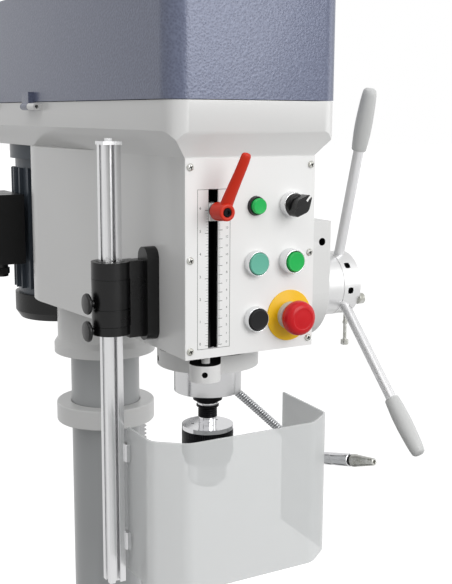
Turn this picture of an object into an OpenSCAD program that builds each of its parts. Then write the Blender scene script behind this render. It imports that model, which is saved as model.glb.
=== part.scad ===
// Floor-standing drill press: base, column, lifting and tilting table, head with belt drive,
// quill with keyed chuck, three-handle feed, control panel, swinging chuck guard, coolant gooseneck.
// The origin is on the floor at the centre of the four anchor holes. X is the feed-handle side,
// Y runs back to the column, Z is up.

/* [Base] */
// Width of the base plate
base_w = 420; // [400:10:480]
// Length of the base plate
base_d = 620; // [600:10:700]
// Thickness of the base plate
base_h = 40; // [30:5:60]
// Anchor hole spacing across the base
anchor_x = 340; // [320:10:360]
// Anchor hole spacing along the base
anchor_y = 540; // [520:10:560]
// Anchor hole diameter
anchor_d = 18; // [14:1:22]

/* [Column] */
// Column diameter
column_d = 104; // [104:1:104]
// Column wall thickness
column_wall = 8; // [6:1:12]
// Column axis behind the middle of the base
column_y = 165; // [150:5:170]
// Spindle axis to column axis
throat = 327; // [327:1:330]

/* [Table] */
// Table width
table_w = 400; // [360:10:400]
// Table depth
table_d = 380; // [340:10:380]
// Table thickness
table_h = 45; // [40:5:50]
// Height of the table top at rest
table_z = 760; // [700:10:800]
// T-slot width
slot_w = 14; // [12:1:16]

/* [Head] */
// Height of the head's underside
head_z = 1250; // [1240:5:1300]
// Head width
head_w = 169; // [169:1:170]
// Head height up to the flare
head_h = 224; // [224:1:230]
// Half width of the flared top
flare_w = 109; // [105:1:112]
// Belt cover height
cover_h = 150; // [130:5:170]

/* [Quill] */
// Spindle axis behind the front of the panel
spindle_in = 103; // [103:1:104]
// Quill diameter
quill_d = 84; // [84:1:84]
// Quill travel
travel = 142; // [120:1:142]
// Chuck sleeve diameter
chuck_d = 65; // [60:1:66]

/* [Feed] */
// Feed axis behind the front of the panel
feed_in = 168; // [168:1:168]
// Feed axis above the head's underside
feed_up = 39.5; // [39.5:0.5:40]
// Feed hub radius
hub_r = 44; // [42:1:46]
// Hub axis to the end of a handle
handle_r = 275; // [250:5:280]

/* [Panel] */
// Control panel width
panel_w = 170; // [169:1:172]
// Control panel height
panel_h = 224; // [224:1:226]
// Button bezel diameter
bezel_d = 29.5; // [28:0.5:30]

/* [Guard] */
// Post axis left of the middle
post_x = -136; // [-137:1:-135]
// Post axis behind the front of the panel
post_in = 88; // [86:1:90]
// Guard post width
post_w = 20.4; // [20:0.2:21]
// Shield height
shield_h = 180; // [150:5:190]

/* [Hidden] */
$fn = 64;

gap = 0.3;                       // clearance between pieces that move past each other
fit = 0.05;                      // radial clearance of a running fit
spindle_y = column_y - throat;
panel_y = spindle_y - spindle_in;
column_r = column_d / 2;
column_in = column_y - panel_y;  // column axis behind the panel's front
pad_z = base_h + 24;             // top of the base's column pad
flange_top = pad_z + 120;
quill_r = quill_d / 2;
feed_x1 = 181.5;                 // outer face of the feed boss
feed_x2 = 224.5;                 // joint between drum and hub
feed_x3 = 251.5;                 // outer face of the hub
feed_module = 2.5;
feed_teeth = 21;
feed_pitch_r = feed_module * feed_teeth / 2;
lift_module = 2;
lift_teeth = 14;
lift_pitch_r = lift_module * lift_teeth / 2;
rack_x = 63;                     // pitch line of the column rack
lift_x = rack_x + lift_pitch_r;
bracket_z = table_z - 105;       // height of the table's tilt axis
lift_z = bracket_z + 45;
floor_z = 236;                   // floor of the belt tray above the head's underside
tray_z = 262;                    // height at which the tray reaches its full width
seam_z = 286;                    // seam between head and belt cover
cover_back = 708;                // back of the cover behind the panel's front
tray_back = cover_back - 5;
hinge_x = -(flare_w + 7.5);      // belt cover hinge axis
hinge_y = [380, 600];            // front ends of the two hinges
motor_in = 618;                  // motor axis behind the panel's front
collar_z = -33;
collar_r = 63;
rod_x = -50;
rod_in = 17;
stop_z = 155;
slot_z0 = 11;
slot_z1 = 190;
col_a = 5;                       // button columns and rows on the panel
col_b = 51.3;
row_a = 169.4;
row_b = 104;
row_c = 39.5;
shield_top = -95;
arbor_top = -81;
chuck_top = -113;

module head_frame() { translate([0, panel_y, head_z]) children(); }
module spindle_frame() { translate([0, spindle_y, head_z]) children(); }
module feed_frame() { translate([0, panel_y + feed_in, head_z + feed_up]) children(); }
module post_frame() { translate([post_x, panel_y + post_in, head_z]) children(); }
module column_frame(z) { translate([0, column_y, z]) children(); }
module along_x() { rotate([0, 90, 0]) children(); }
module along_y() { rotate([-90, 0, 0]) children(); }

// Flat plate with round corners, drawn upwards from z = 0
module rounded_outline(w, d, r) {
  square([w - 2 * r, d], center = true);
  square([w, d - 2 * r], center = true);
  for (x = [-1, 1], y = [-1, 1]) translate([x * (w / 2 - r), y * (d / 2 - r)]) circle(r);
}
module rounded_plate(w, d, r, h) { linear_extrude(h) rounded_outline(w, d, r); }

// T-slot along Y, cut downwards from z = 0
module t_slot(length) {
  translate([-slot_w / 2, 0, -14]) cube([slot_w, length, 15]);
  translate([-slot_w / 2 - 5, 0, -24]) cube([slot_w + 10, length, 10.01]);
}
module tube(r_out, r_in, h) {
  difference() {
    cylinder(r = r_out, h = h);
    translate([0, 0, -1]) cylinder(r = r_in, h = h + 2);
  }
}
// Straight rack outline: pitch line on x = 0, teeth towards +x, a gap centred on y = 0
module rack_outline(module_mm, first, last, depth) {
  pitch = PI * module_mm;
  polygon(concat(
    [[-depth, (first - 0.5) * pitch]],
    [for (i = [first:last]) each [
      [-1.2 * module_mm, (i - 0.13) * pitch + 0.2], [-1.2 * module_mm, (i + 0.13) * pitch - 0.2],
      [0.9 * module_mm, (i + 0.36) * pitch], [0.9 * module_mm, (i + 0.64) * pitch]]],
    [[-1.2 * module_mm, (last + 0.87) * pitch], [-depth, (last + 0.87) * pitch]]));
}
// Spur gear outline with one tooth pointing along -x
module gear_outline(module_mm, teeth) {
  r = module_mm * teeth / 2;
  step = 360 / teeth;
  polygon([for (i = [0:teeth - 1]) each [
    for (p = [[-0.30, -1.2], [-0.20, 0], [-0.09, 0.9], [0.09, 0.9], [0.20, 0], [0.30, -1.2]])
      let (a = 180 + (i + p[0]) * step, q = r + p[1] * module_mm) [q * cos(a), q * sin(a)]]]);
}

module base() {
  color("lightgrey") difference() {
    union() {
      rounded_plate(base_w, base_d, 30, base_h);
      translate([0, -155, 0]) rounded_plate(300, 280, 15, base_h + 20);
      column_frame(0) cylinder(r = 125, h = pad_z);
    }
    for (x = [-1, 1], y = [-1, 1])
      translate([x * anchor_x / 2, y * anchor_y / 2, -1]) cylinder(d = anchor_d, h = base_h + 2);
    translate([0, 0, -1]) linear_extrude(26) difference() {
      rounded_outline(base_w - 50, base_d - 50, 15);
      for (x = [-1, 1], y = [-1, 1]) translate([x * anchor_x / 2, y * anchor_y / 2]) circle(28);
    }
    for (x = [-90, 90]) translate([x, -300, base_h + 20]) t_slot(250);
    for (a = [45:90:315])
      column_frame(pad_z - 30) rotate([0, 0, a]) translate([92, 0, 0]) cylinder(r = 8.05, h = 31);
  }
}
module column_flange() {
  color("lightgrey") column_frame(pad_z) difference() {
    union() {
      cylinder(r = 110, h = 26);
      translate([0, 0, 26]) cylinder(r1 = 77, r2 = 70, h = 14);
      cylinder(r = 70, h = 92);
      translate([0, 0, 90]) cylinder(r = 74.5, h = 30);
    }
    translate([0, 0, -1]) cylinder(r = column_r + fit, h = 130);
    translate([0, 0, 108]) cylinder(r = 68, h = 13);
    for (a = [45:90:315]) rotate([0, 0, a]) translate([92, 0, -1]) cylinder(r = 8.5, h = 40);
  }
}
module flange_bolts() {
  color("silver") for (a = [45:90:315]) column_frame(pad_z) rotate([0, 0, a]) translate([92, 0, 0]) {
    translate([0, 0, -28]) cylinder(r = 8, h = 56);
    translate([0, 0, 26]) cylinder(r = 14.5, h = 2.5);
    translate([0, 0, 28.5]) cylinder(r = 13, h = 10, $fn = 6);
  }
}
module column() {
  color("gainsboro") column_frame(pad_z) tube(column_r, column_r - column_wall, head_z + 215 - pad_z);
}
module rack() {
  pitch = PI * lift_module;
  first = ceil((flange_top - 11 - lift_z) / pitch + 0.5);
  last = floor((head_z - 181 - lift_z) / pitch - 0.9);
  color("silver") column_frame(lift_z) translate([rack_x, 9, 0]) rotate([90, 0, 0])
    linear_extrude(18) rack_outline(lift_module, first, last, rack_x - column_r - gap - 0.5);
}
module upper_rack_ring() {
  color("whitesmoke") column_frame(head_z - 192) difference() {
    tube(74.5, column_r + fit, 30);
    translate([0, 0, -1]) cylinder(r = 68, h = 13);
  }
}

// Table lift: split collar on the column, pinion box, arm and tilt pin
module table_bracket() {
  color("whitesmoke") column_frame(0) difference() {
    union() {
      translate([0, 0, bracket_z - 55]) cylinder(r = 80, h = 150);
      translate([-45, -205, bracket_z - 35]) cube([90, 140, 58]);
      translate([-30, -150, bracket_z - 50]) cube([60, 85, 20]);
      translate([40, -42, lift_z - 34]) cube([68, 84, 68]);
      translate([-24, 60, bracket_z - 35]) cube([48, 52, 110]);
      translate([0, -225, bracket_z]) along_y() cylinder(r = 45, h = 40);
      translate([0, -303, bracket_z]) along_y() cylinder(r = 16, h = 80);
      translate([0, -303, bracket_z]) along_y() cylinder(r = 24, h = 12, $fn = 6);
    }
    translate([0, 0, bracket_z - 56]) cylinder(r = column_r + fit, h = 152);
    translate([-3, 50, bracket_z - 56]) cube([6, 70, 152]);
    translate([50, -10, bracket_z - 56]) cube([16, 20, 152]);
    translate([lift_x, -12, lift_z]) along_y() cylinder(r = 17, h = 24);
    translate([lift_x, 11, lift_z]) along_y() cylinder(r = 20, h = 22);
    translate([lift_x, -38, lift_z]) along_y() cylinder(r = 9 + fit, h = 72);
    translate([lift_x + 14, 22, lift_z]) along_x() cylinder(r = 9 + fit, h = 40);
    translate([-25, 98, bracket_z + 20]) along_x() cylinder(r = 7 + fit, h = 50);
  }
}
module lift_shaft() {
  color("silver") translate([lift_x, column_y, lift_z]) {
    translate([0, -37, 0]) along_y() cylinder(r = 9, h = 69);
    translate([0, 10, 0]) rotate([90, 0, 0]) linear_extrude(20) gear_outline(lift_module, lift_teeth);
  }
}
module lift_crank() {
  color("silver") translate([lift_x, column_y + 22, lift_z]) {
    translate([18, 0, 0]) along_x() cylinder(r = 9, h = 42);
    translate([48, 0, 0]) along_x() cylinder(r = 14, h = 18);
    translate([54, -9, -110]) cube([12, 18, 110]);
    translate([54, 0, -110]) along_x() cylinder(r = 11, h = 12);
    translate([60, 0, -110]) along_x() cylinder(r = 5, h = 85);
  }
}
module crank_grip() {
  color("black") translate([lift_x + 67, column_y + 22, lift_z - 110]) along_x() difference() {
    rotate_extrude() polygon([[5 + fit, 0], [9, 0], [12, 10], [13.5, 45], [11, 68], [8, 72], [5 + fit, 72]]);
    translate([0, 0, -1]) cylinder(r = 5 + fit, h = 80);
  }
}
module bracket_clamp_lever() {
  color("dimgrey") column_frame(bracket_z + 20) translate([0, 98, 0]) {
    translate([-34, 0, 0]) along_x() cylinder(r = 7, h = 78);
    translate([-36, 0, 0]) along_x() cylinder(r = 13, h = 11, $fn = 6);
    translate([26, 0, 0]) along_x() cylinder(r = 12, h = 20);
    translate([36, 0, 0]) rotate([-140, 0, 0]) cylinder(r = 5, h = 95);
    translate([36, 0, 0]) rotate([-140, 0, 0]) translate([0, 0, 100]) sphere(r = 13);
  }
}
module table() {
  color("lightgrey") translate([0, spindle_y, 0]) difference() {
    union() {
      translate([0, 0, table_z - table_h]) rounded_plate(table_w, table_d, 20, table_h);
      translate([0, 0, table_z - table_h - 22]) rounded_plate(240, 196, 20, 23);
      translate([-50, 36.5, bracket_z]) cube([100, 64, 62]);
      translate([0, 36.5, bracket_z]) along_y() cylinder(r = 50, h = 64);
    }
    translate([0, 0, table_z - table_h - 40]) cylinder(r = 16, h = table_h + 42);
    for (y = [-95, 95]) translate([table_w / 2 + 1, y, table_z]) rotate([0, 0, 90]) t_slot(table_w + 2);
    translate([0, 30, bracket_z]) along_y() cylinder(r = 16 + fit, h = 80);
  }
}

// Head: one casting that holds the quill, the column and the belt tray
module head_outline() {
  r = 104;
  polygon([[-head_w / 2, 2], [head_w / 2, 2], [head_w / 2, 250], [r, column_in - 8], [r, column_in],
    [-r, column_in], [-r, column_in - 8], [-head_w / 2, 250]]);
  translate([0, column_in]) circle(r);
}
module tray_outline(w, back, r) {
  d = back + 15;
  translate([0, d / 2 - 15]) rounded_outline(w, d, r);
}
module head_flare() {
  intersection() {
    translate([0, 0, head_h - 1]) linear_extrude(seam_z - head_h + 1) tray_outline(2 * flare_w, tray_back, 25);
    translate([0, 800, 0]) rotate([90, 0, 0]) linear_extrude(900) polygon([[-head_w / 2, head_h - 2],
      [head_w / 2, head_h - 2], [head_w / 2, head_h], [flare_w, 253], [flare_w, 300],
      [-flare_w, 300], [-flare_w, 253], [-head_w / 2, head_h]]);
    rotate([90, 0, 90]) translate([0, 0, -200]) linear_extrude(400)
      polygon([[2, head_h - 2], [tray_back - 12, head_h - 2], [tray_back, 253], [tray_back, 300],
        [-15, 300], [-15, 253], [2, head_h]]);
  }
}
module feed_boss() {
  translate([head_w / 2 - 2, feed_in, feed_up]) along_x() {
    cylinder(r = 68, h = feed_x1 - head_w / 2 + 2);
    translate([-95.5, -68, 0]) cube([95.5, 136, feed_x1 - head_w / 2 + 2]);
  }
}
module head_casting() {
  color("whitesmoke") head_frame() difference() {
    union() {
      linear_extrude(head_h) head_outline();
      head_flare();
      feed_boss();
      translate([0, column_in, -66]) cylinder(r = 71, h = 70);
      translate([0, column_in, -70]) cylinder(r1 = 76.3, r2 = 71, h = 8);
      translate([0, column_in, -84]) cylinder(r = 76.3, h = 14);
      translate([20, 331, -7]) cylinder(r = 13, h = 8);
      translate([0, spindle_in, head_h]) cylinder(r = 46, h = 50);
      for (y = hinge_y) translate([hinge_x, y, seam_z - 6]) {
        along_y() cylinder(r = 5, h = 28);
        translate([0, 0, -5]) cube([-flare_w - hinge_x + 2, 28, 8]);
      }
    }
    translate([0, spindle_in, -1]) cylinder(r = quill_r + fit, h = 246);
    translate([0, spindle_in, 244]) cylinder(r = 27 + fit, h = 60);
    translate([0, spindle_in, 274]) cylinder(r = 47, h = 30);
    translate([-72, 11, -1]) cube([144, 36, 213]);
    translate([-70, 218, -1]) cube([140, 84, 205]);
    translate([0, column_in, -1]) linear_extrude(206) difference() {
      circle(96);
      circle(72);
    }
    translate([0, 8, tray_z]) linear_extrude(40) difference() {
      tray_outline(2 * flare_w - 16, tray_back - 16, 18);
      translate([0, spindle_in - 8]) circle(46);
    }
    translate([0, 23, floor_z]) linear_extrude(30) difference() {
      tray_outline(2 * flare_w - 62, tray_back - 46, 12);
      translate([0, spindle_in - 23]) circle(46);
    }
    translate([0, column_in, -85]) cylinder(r = column_r + fit, h = 301);
    translate([0, feed_in, feed_up]) along_x() translate([0, 0, -86]) cylinder(r = 12 + fit, h = 270);
    translate([0, feed_in, feed_up]) along_x() translate([0, 0, -16]) cylinder(r = 31, h = 32);
    translate([0, motor_in, 220]) cylinder(r = 22, h = 60);
    for (a = [45:90:315])
      translate([0, motor_in, 220]) rotate([0, 0, a]) translate([55, 0, 0]) cylinder(r = 5.5, h = 60);
    translate([168, 99, 108]) along_y() cylinder(r = 5, h = 26);
    for (y = hinge_y) translate([hinge_x, y - 1, seam_z - 6]) along_y() cylinder(r = 2.6, h = 30);
    for (x = [col_a, col_b], z = [row_a, row_b, row_c]) translate([x, 0, z]) along_y() cylinder(r = 11.3, h = 14);
    translate([rod_x - 7, 0, -1]) cube([14, 14, slot_z1 + 1]);
  }
}
// Belt cover: a shell that hinges on the left-hand edge of the head
module belt_cover() {
  color("slategrey") head_frame() difference() {
    union() {
      translate([0, 0, seam_z + 0.8]) linear_extrude(cover_h - 6.8) tray_outline(2 * flare_w + 3, cover_back, 26);
      translate([0, 0, seam_z + cover_h - 6]) linear_extrude(6) tray_outline(2 * flare_w - 5, cover_back - 4, 22);
      for (y = hinge_y) translate([hinge_x, y + 28.5, seam_z - 6]) {
        along_y() cylinder(r = 5, h = 28);
        translate([-2, 0, 2]) cube([8, 28, 18]);
      }
    }
    translate([0, 2, seam_z - 30]) linear_extrude(cover_h + 24) tray_outline(2 * flare_w - 4, cover_back - 5, 23);
    translate([flare_w - 9, 420, seam_z + 30]) along_x() cylinder(r = 4, h = 16);
    for (y = hinge_y) translate([hinge_x, y + 27, seam_z - 6]) along_y() cylinder(r = 2.6, h = 32);
  }
}
module cover_knob() {
  color("black") head_frame() translate([flare_w + 1.5, 420, seam_z + 30]) rotate([0, 90, 0]) {
    translate([0, 0, -6]) cylinder(r = 4, h = 12);
    rotate_extrude() polygon([[0, 0], [9, 0], [7, 8], [15, 12], [17, 18], [15, 24], [9, 27], [0, 28]]);
  }
}
// Motor hangs under the back of the belt tray
module motor_body() {
  color("lightslategrey") head_frame() translate([0, motor_in, 0]) {
    translate([0, 0, -20]) cylinder(r = 68, h = 220);
    for (a = [0:15:345]) rotate([0, 0, a]) translate([66, -1.5, -10]) cube([9, 3, 195]);
    translate([0, 0, 200]) cylinder(r = 76, h = 23);
    for (a = [45:90:315]) rotate([0, 0, a]) translate([55, 0, 222]) cylinder(r = 5, h = 24);
    for (a = [45:90:315]) rotate([0, 0, a]) translate([55, 0, floor_z]) cylinder(r = 9, h = 8, $fn = 6);
  }
}
module motor_fan_cover() {
  color("dimgrey") head_frame() translate([0, motor_in, -62]) difference() {
    union() {
      cylinder(r1 = 66, r2 = 74, h = 12);
      translate([0, 0, 12]) cylinder(r = 74, h = 30);
    }
    translate([0, 0, 4]) cylinder(r = 64, h = 37.5);
    for (r = [18, 32, 46], a = [0:30:330]) rotate([0, 0, a]) translate([r, 0, -1]) cylinder(r = 2.6, h = 8);
  }
}
module terminal_box() {
  color("dimgrey") head_frame() translate([-78, motor_in, 90]) {
    translate([-42, -50, -55]) cube([45, 100, 110]);
    translate([-22, 0, -80]) cylinder(r = 11, h = 26);
    translate([-22, 0, -76]) cylinder(r = 14, h = 10, $fn = 6);
  }
}

// Stepped V-belt pulley, steps listed from the bottom up
step_h = 24;
belt_w = 12;
module stepped_pulley(radii, bore) {
  n = len(radii);
  rotate_extrude() polygon(concat([[bore, 0]],
    [for (i = [0:n - 1]) each let (r = radii[i], z = i * step_h, m = z + step_h / 2) [
      [r, z], [r, m - 7], [r - 10, m - 4], [r - 10, m + 4], [r, m + 7], [r, z + step_h]]],
    [[bore, n * step_h]]));
}
spindle_steps = [84, 70, 56, 42];
motor_steps = [42, 56, 70, 78];
belt_step = 1;
pulley_z = tray_z + 14;
module spindle_pulley() {
  color("silver") spindle_frame() {
    translate([0, 0, pulley_z]) stepped_pulley(spindle_steps, 15 + fit);
    translate([0, 0, pulley_z - 30]) tube(27, 15 + fit, 31);
    translate([0, 0, pulley_z + 4 * step_h - 1]) tube(28, 15 + fit, 10);
  }
}
module motor_pulley() {
  color("silver") head_frame() translate([0, motor_in, 0]) {
    translate([0, 0, pulley_z]) stepped_pulley(motor_steps, 11);
    translate([0, 0, 224]) cylinder(r = 11, h = 148);
    translate([0, 0, pulley_z - 8]) cylinder(r = 20, h = 9);
  }
}
// Belt around the second pulley step, held just clear of both grooves
module v_belt() {
  ra = spindle_steps[belt_step] - 9.4;
  rb = motor_steps[belt_step] - 9.4;
  z = pulley_z + (belt_step + 0.5) * step_h;
  d = motor_in - spindle_in;
  tilt = asin((ra - rb) / d);
  module loop(extra, h) {
    translate([0, 0, -h / 2]) linear_extrude(h) {
      circle(ra + extra);
      translate([0, d]) circle(rb + extra);
      polygon([for (s = [[0, ra, 1], [d, rb, 1], [d, rb, -1], [0, ra, -1]])
        [s[2] * (s[1] + extra) * cos(tilt), s[0] + (s[1] + extra) * sin(tilt)]]);
    }
  }
  color("black") head_frame() translate([0, spindle_in, z]) difference() {
    union() {
      difference() {
        loop(9, 10.4);
        loop(4.4, 20);
      }
      loop(4.5, 7.7);
    }
    loop(0, 20);
  }
}

// Quill: ground steel sleeve with a rack cut along its back
module quill() {
  pitch = PI * feed_module;
  first = -2;
  last = 20;
  offset_r = feed_in - spindle_in - feed_pitch_r;
  color("silver") spindle_frame() difference() {
    union() {
      difference() {
        translate([0, 0, -68.6]) cylinder(r = quill_r, h = 276);
        translate([-9, offset_r - 1.2 * feed_module, feed_up - 2.5 * pitch]) cube([18, 20, (last - first + 1.37) * pitch]);
      }
      translate([-9, offset_r, feed_up]) rotate([90, 0, 90])
        linear_extrude(18) rack_outline(feed_module, first, last, 1.3 * feed_module);
    }
    translate([0, 0, -70]) cylinder(r = 20, h = 280);
    translate([0, 0, -58]) cylinder(r = 31, h = 42);
    translate([0, 0, 170]) cylinder(r = 31, h = 40);
  }
}
module quill_collar() {
  color("whitesmoke") spindle_frame() difference() {
    union() {
      translate([0, 0, collar_z]) cylinder(r = collar_r, h = 21);
      translate([rod_x - 1, rod_in - spindle_in, collar_z + 3]) cylinder(r = 18, h = 20);
      translate([rod_x - 1, rod_in - spindle_in, collar_z + 3]) rotate([0, 0, 60])
        translate([0, -18, 0]) cube([45, 36, 18]);
    }
    translate([0, 0, collar_z - 1]) cylinder(r = quill_r + fit, h = 40);
    translate([rod_x, rod_in - spindle_in, collar_z + 6]) cylinder(r = 5 + fit, h = 40);
    translate([rod_x - 14, rod_in - spindle_in - 24, collar_z + 13]) rotate([-90, 0, -28]) cylinder(r = 3.4, h = 12);
    translate([-collar_r - 1, 16, collar_z + 8]) along_x() cylinder(r = 3.4, h = 14);
  }
}
module depth_rod() {
  color("whitesmoke") head_frame() translate([rod_x, rod_in, collar_z + 6]) cylinder(r = 5, h = 194 - collar_z);
}
module depth_stop() {
  color("white") head_frame() difference() {
    union() {
      translate([rod_x - 5.7, -3, stop_z]) cube([11.4, 20, 19.4]);
      translate([rod_x - 14, 11.6, stop_z]) cube([28, 16.4, 19.4]);
    }
    translate([rod_x, rod_in, stop_z - 1]) cylinder(r = 5 + fit, h = 22);
    translate([rod_x, -4, stop_z + 11.5]) along_y() cylinder(r = 4 + fit, h = 12);
  }
}
// Red clamp lever: hub on the stop's screw, arm rising to the right
module clamp_lever() {
  color("orangered") head_frame() translate([rod_x, 0, stop_z + 11.5]) {
    translate([0, 7, 0]) rotate([90, 0, 0]) cylinder(r = 4, h = 14);
    translate([0, -4, 0]) rotate([90, 0, 0]) cylinder(r = 8, h = 8);
    translate([0, -9, 0]) rotate([90, 0, 0]) cylinder(r1 = 10.3, r2 = 9.2, h = 23);
    hull() {
      translate([2, -22.5, 4]) sphere(r = 8, $fn = 32);
      translate([16, -43, 61]) sphere(r = 5.4, $fn = 32);
    }
  }
}

module spindle() {
  color("silver") spindle_frame() {
    translate([0, 0, -70]) cylinder(r = 15, h = 466);
    translate([0, 0, -78]) cylinder(r = 17, h = 9);
  }
}
module quill_bearings() {
  color("dimgrey") spindle_frame() {
    for (z = [-57, -36, 175]) translate([0, 0, z]) tube(30.9, 15 + fit, 18);
    translate([0, 0, -80.9]) tube(18.4, 17.2, 14.5);
    translate([0, 0, -68.6]) tube(19.9, 17.2, 4);
  }
}
module chuck_arbor() {
  color("dimgrey") spindle_frame() {
    translate([0, 0, -88]) cylinder(r = 13.4, h = 10);
    translate([0, 0, -103.5]) cylinder(r = 11.5, h = 16);
    translate([0, 0, chuck_top - 20]) cylinder(r1 = 9.2, r2 = 10.2, h = 30);
  }
}
// Keyed chuck: body and nose, toothed sleeve, three sliding jaws
jaw_tilt = 9;
module jaw_place(n) {
  rotate([0, 0, 120 * n + 30]) translate([5.2, 0, -188]) rotate([0, jaw_tilt, 0]) children();
}
module chuck_body() {
  color("silver") spindle_frame() difference() {
    union() {
      translate([0, 0, -118.4]) cylinder(r = chuck_d / 2, h = 5.4);
      translate([0, 0, -162]) cylinder(r = 24, h = 44);
      translate([0, 0, -182]) cylinder(r = 24.5, h = 20.5);
      translate([0, 0, -190]) cylinder(r1 = 19.5, r2 = 24.5, h = 8.01);
    }
    translate([0, 0, -191]) cylinder(r = 10.6, h = 34);
    translate([0, 0, chuck_top - 21]) cylinder(r1 = 9.25, r2 = 10.3, h = 30);
    for (n = [0:2]) jaw_place(n) translate([0, 0, -20]) cylinder(r = 4.6, h = 70);
    for (a = [30, 150, 270]) rotate([0, 0, a]) translate([14, 0, -171]) along_x() cylinder(r = 3.6, h = 14);
    for (x = [-17, 17]) translate([x, 8, -116]) cylinder(r = 2, h = 5);
  }
}
module chuck_sleeve() {
  color("dimgrey") spindle_frame() difference() {
    union() {
      translate([0, 0, -151.6]) cylinder(r = chuck_d / 2, h = 33);
      translate([0, 0, -158]) cylinder(r1 = 29.6, r2 = 31.5, h = 6.5);
      for (a = [0:12:348]) rotate([0, 0, a]) translate([25, -1.2, -161]) cube([4.6, 2.4, 4]);
    }
    translate([0, 0, -162]) cylinder(r = 24.6, h = 50);
  }
}
// Each jaw is a slanted pin cut to a 120 degree wedge, so that the three close on each other
module jaw(n) {
  color("grey") spindle_frame() intersection() {
    jaw_place(n) cylinder(r = 4.5, h = 46);
    rotate([0, 0, 120 * n + 30]) translate([0, 0, -186.5]) linear_extrude(60)
      polygon([[2.2, 0], [22, 34], [22, -34]]);
  }
}

// Feed: pinion shaft through the head, drum, hub, three handles
module feed_shaft() {
  color("silver") feed_frame() along_x() {
    translate([0, 0, -104]) cylinder(r = 12, h = feed_x3 - 10 + 104);
    translate([0, 0, -8.5]) rotate([0, 0, 90]) linear_extrude(17) gear_outline(feed_module, feed_teeth);
  }
}
module feed_drum() {
  color("gainsboro") feed_frame() along_x() {
    translate([0, 0, feed_x1 + gap]) tube(hub_r, 12, feed_x2 - feed_x1 - gap);
  }
}
module feed_hub() {
  color("gainsboro") feed_frame() along_x() difference() {
    union() {
      translate([0, 0, feed_x2]) cylinder(r = hub_r, h = 27);
      translate([0, 0, feed_x3 - 1]) cylinder(r = 26, h = 8);
    }
    translate([0, 0, feed_x2 - 1]) cylinder(r = 12, h = feed_x3 - 10 - feed_x2 + 1);
    for (a = handle_angles) rotate([0, 0, a]) translate([-26, 0, handle_x]) rotate([0, -90, 0])
      cylinder(r = 7, h = 20);
    for (a = [50, 97]) rotate([0, 0, a]) translate([-hub_r + 4, 0, 235]) rotate([0, -90, 0]) {
      translate([-4, -4, 0]) cube([8, 8, 6]);
      cylinder(r = 4.5, h = 6);
    }
  }
}
// Each handle leaves the hub at its own angle, measured from straight up towards the operator
handle_angles = [15, 135, 255];
handle_x = 237;
module handle_place(a) { rotate([a, 0, 0]) translate([handle_x, 0, 0]) children(); }
module handle_rods() {
  color("silver") feed_frame() for (a = handle_angles) handle_place(a)
    translate([0, 0, 26]) cylinder(r = 7, h = handle_r - 36);
}
grip_h = 83;
module handle_grips() {
  color("gainsboro") feed_frame() for (a = handle_angles) handle_place(a)
    translate([0, 0, handle_r - grip_h]) difference() {
      rotate_extrude() polygon([[0, 0], [9.8, 0], [11.2, 22], [11.4, 40], [10.2, 66], [8.6, 81], [7, 83], [0, 83]]);
      translate([0, 0, -1]) cylinder(r = 7, h = grip_h - 9);
    }
}
// Lock pin hangs from the hub's end cap, with a small black knob beside it
module feed_lock_pin() {
  color("silver") feed_frame() {
    translate([feed_x3 + 3, -6, -86]) cylinder(r = 2.6, h = 60.1);
    translate([feed_x3 + 3, -6, -60]) cylinder(r = 3.6, h = 4);
    translate([feed_x3 + 3, -6, -90]) cylinder(r = 5.6, h = 7);
    translate([feed_x3, -36, -19]) along_x() cylinder(r = 7.5, h = 9);
  }
}
module spring_housing() {
  color("dimgrey") feed_frame() rotate([0, -90, 0]) difference() {
    union() {
      translate([0, 0, head_w / 2]) cylinder(r = 42, h = 22);
      translate([0, 0, head_w / 2 + 22]) cylinder(r1 = 42, r2 = 38, h = 3.5);
    }
    translate([0, 0, head_w / 2 - 1]) cylinder(r = 12 + fit, h = 20.5);
  }
}

// Control panel and its fittings
module control_panel() {
  color("white") head_frame() difference() {
    translate([-panel_w / 2, 0, 0]) cube([panel_w, 2, panel_h]);
    translate([rod_x - 6.3, -1, slot_z0]) cube([12.6, 4, slot_z1 - slot_z0]);
    for (x = [col_a, col_b], z = [row_a, row_b, row_c])
      translate([x, -1, z]) along_y() cylinder(r = 11.2, h = 4);
    for (p = panel_screw_places()) translate([p[0], -1, p[1]]) along_y() cylinder(r = 2.6, h = 4);
  }
}
function panel_screw_places() = [for (x = [-79, 79], z = [9.7, panel_h / 2, panel_h - 9.7]) [x, z]];
module panel_screws() {
  color("darkkhaki") head_frame() for (p = panel_screw_places()) translate([p[0], 0, p[1]]) {
    rotate([90, 0, 0]) difference() {
      cylinder(r1 = 4.4, r2 = 3.4, h = 2.6);
      translate([-5, -0.6, 1.4]) cube([10, 1.2, 2]);
    }
    translate([0, -0.5, 0]) along_y() cylinder(r = 2.4, h = 2.5);
  }
}
module bezel(x, z, h, r, bore, stem_bore) {
  translate([x, 0, z]) rotate([90, 0, 0]) difference() {
    union() {
      cylinder(r1 = r, r2 = r - 0.8, h = h);
      translate([0, 0, -30]) cylinder(r = 11, h = 31);
    }
    translate([0, 0, 1.5]) cylinder(r = bore, h = h);
    translate([0, 0, -12]) cylinder(r = stem_bore, h = 16);
  }
}
module button_bezels() {
  color("silver") head_frame() {
    bezel(col_a, row_b, 8.5, bezel_d / 2, 12.9, 8.4);
    bezel(col_b, row_b, 13, bezel_d / 2, 12.2, 8.4);
    bezel(col_a, row_c, 8.5, bezel_d / 2, 12.9, 8.4);
    bezel(col_b, row_a, 10, bezel_d / 2, 11.4, 8.4);
    bezel(col_a, row_a, 5, 11, 9.4, 5.6);
  }
}
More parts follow.
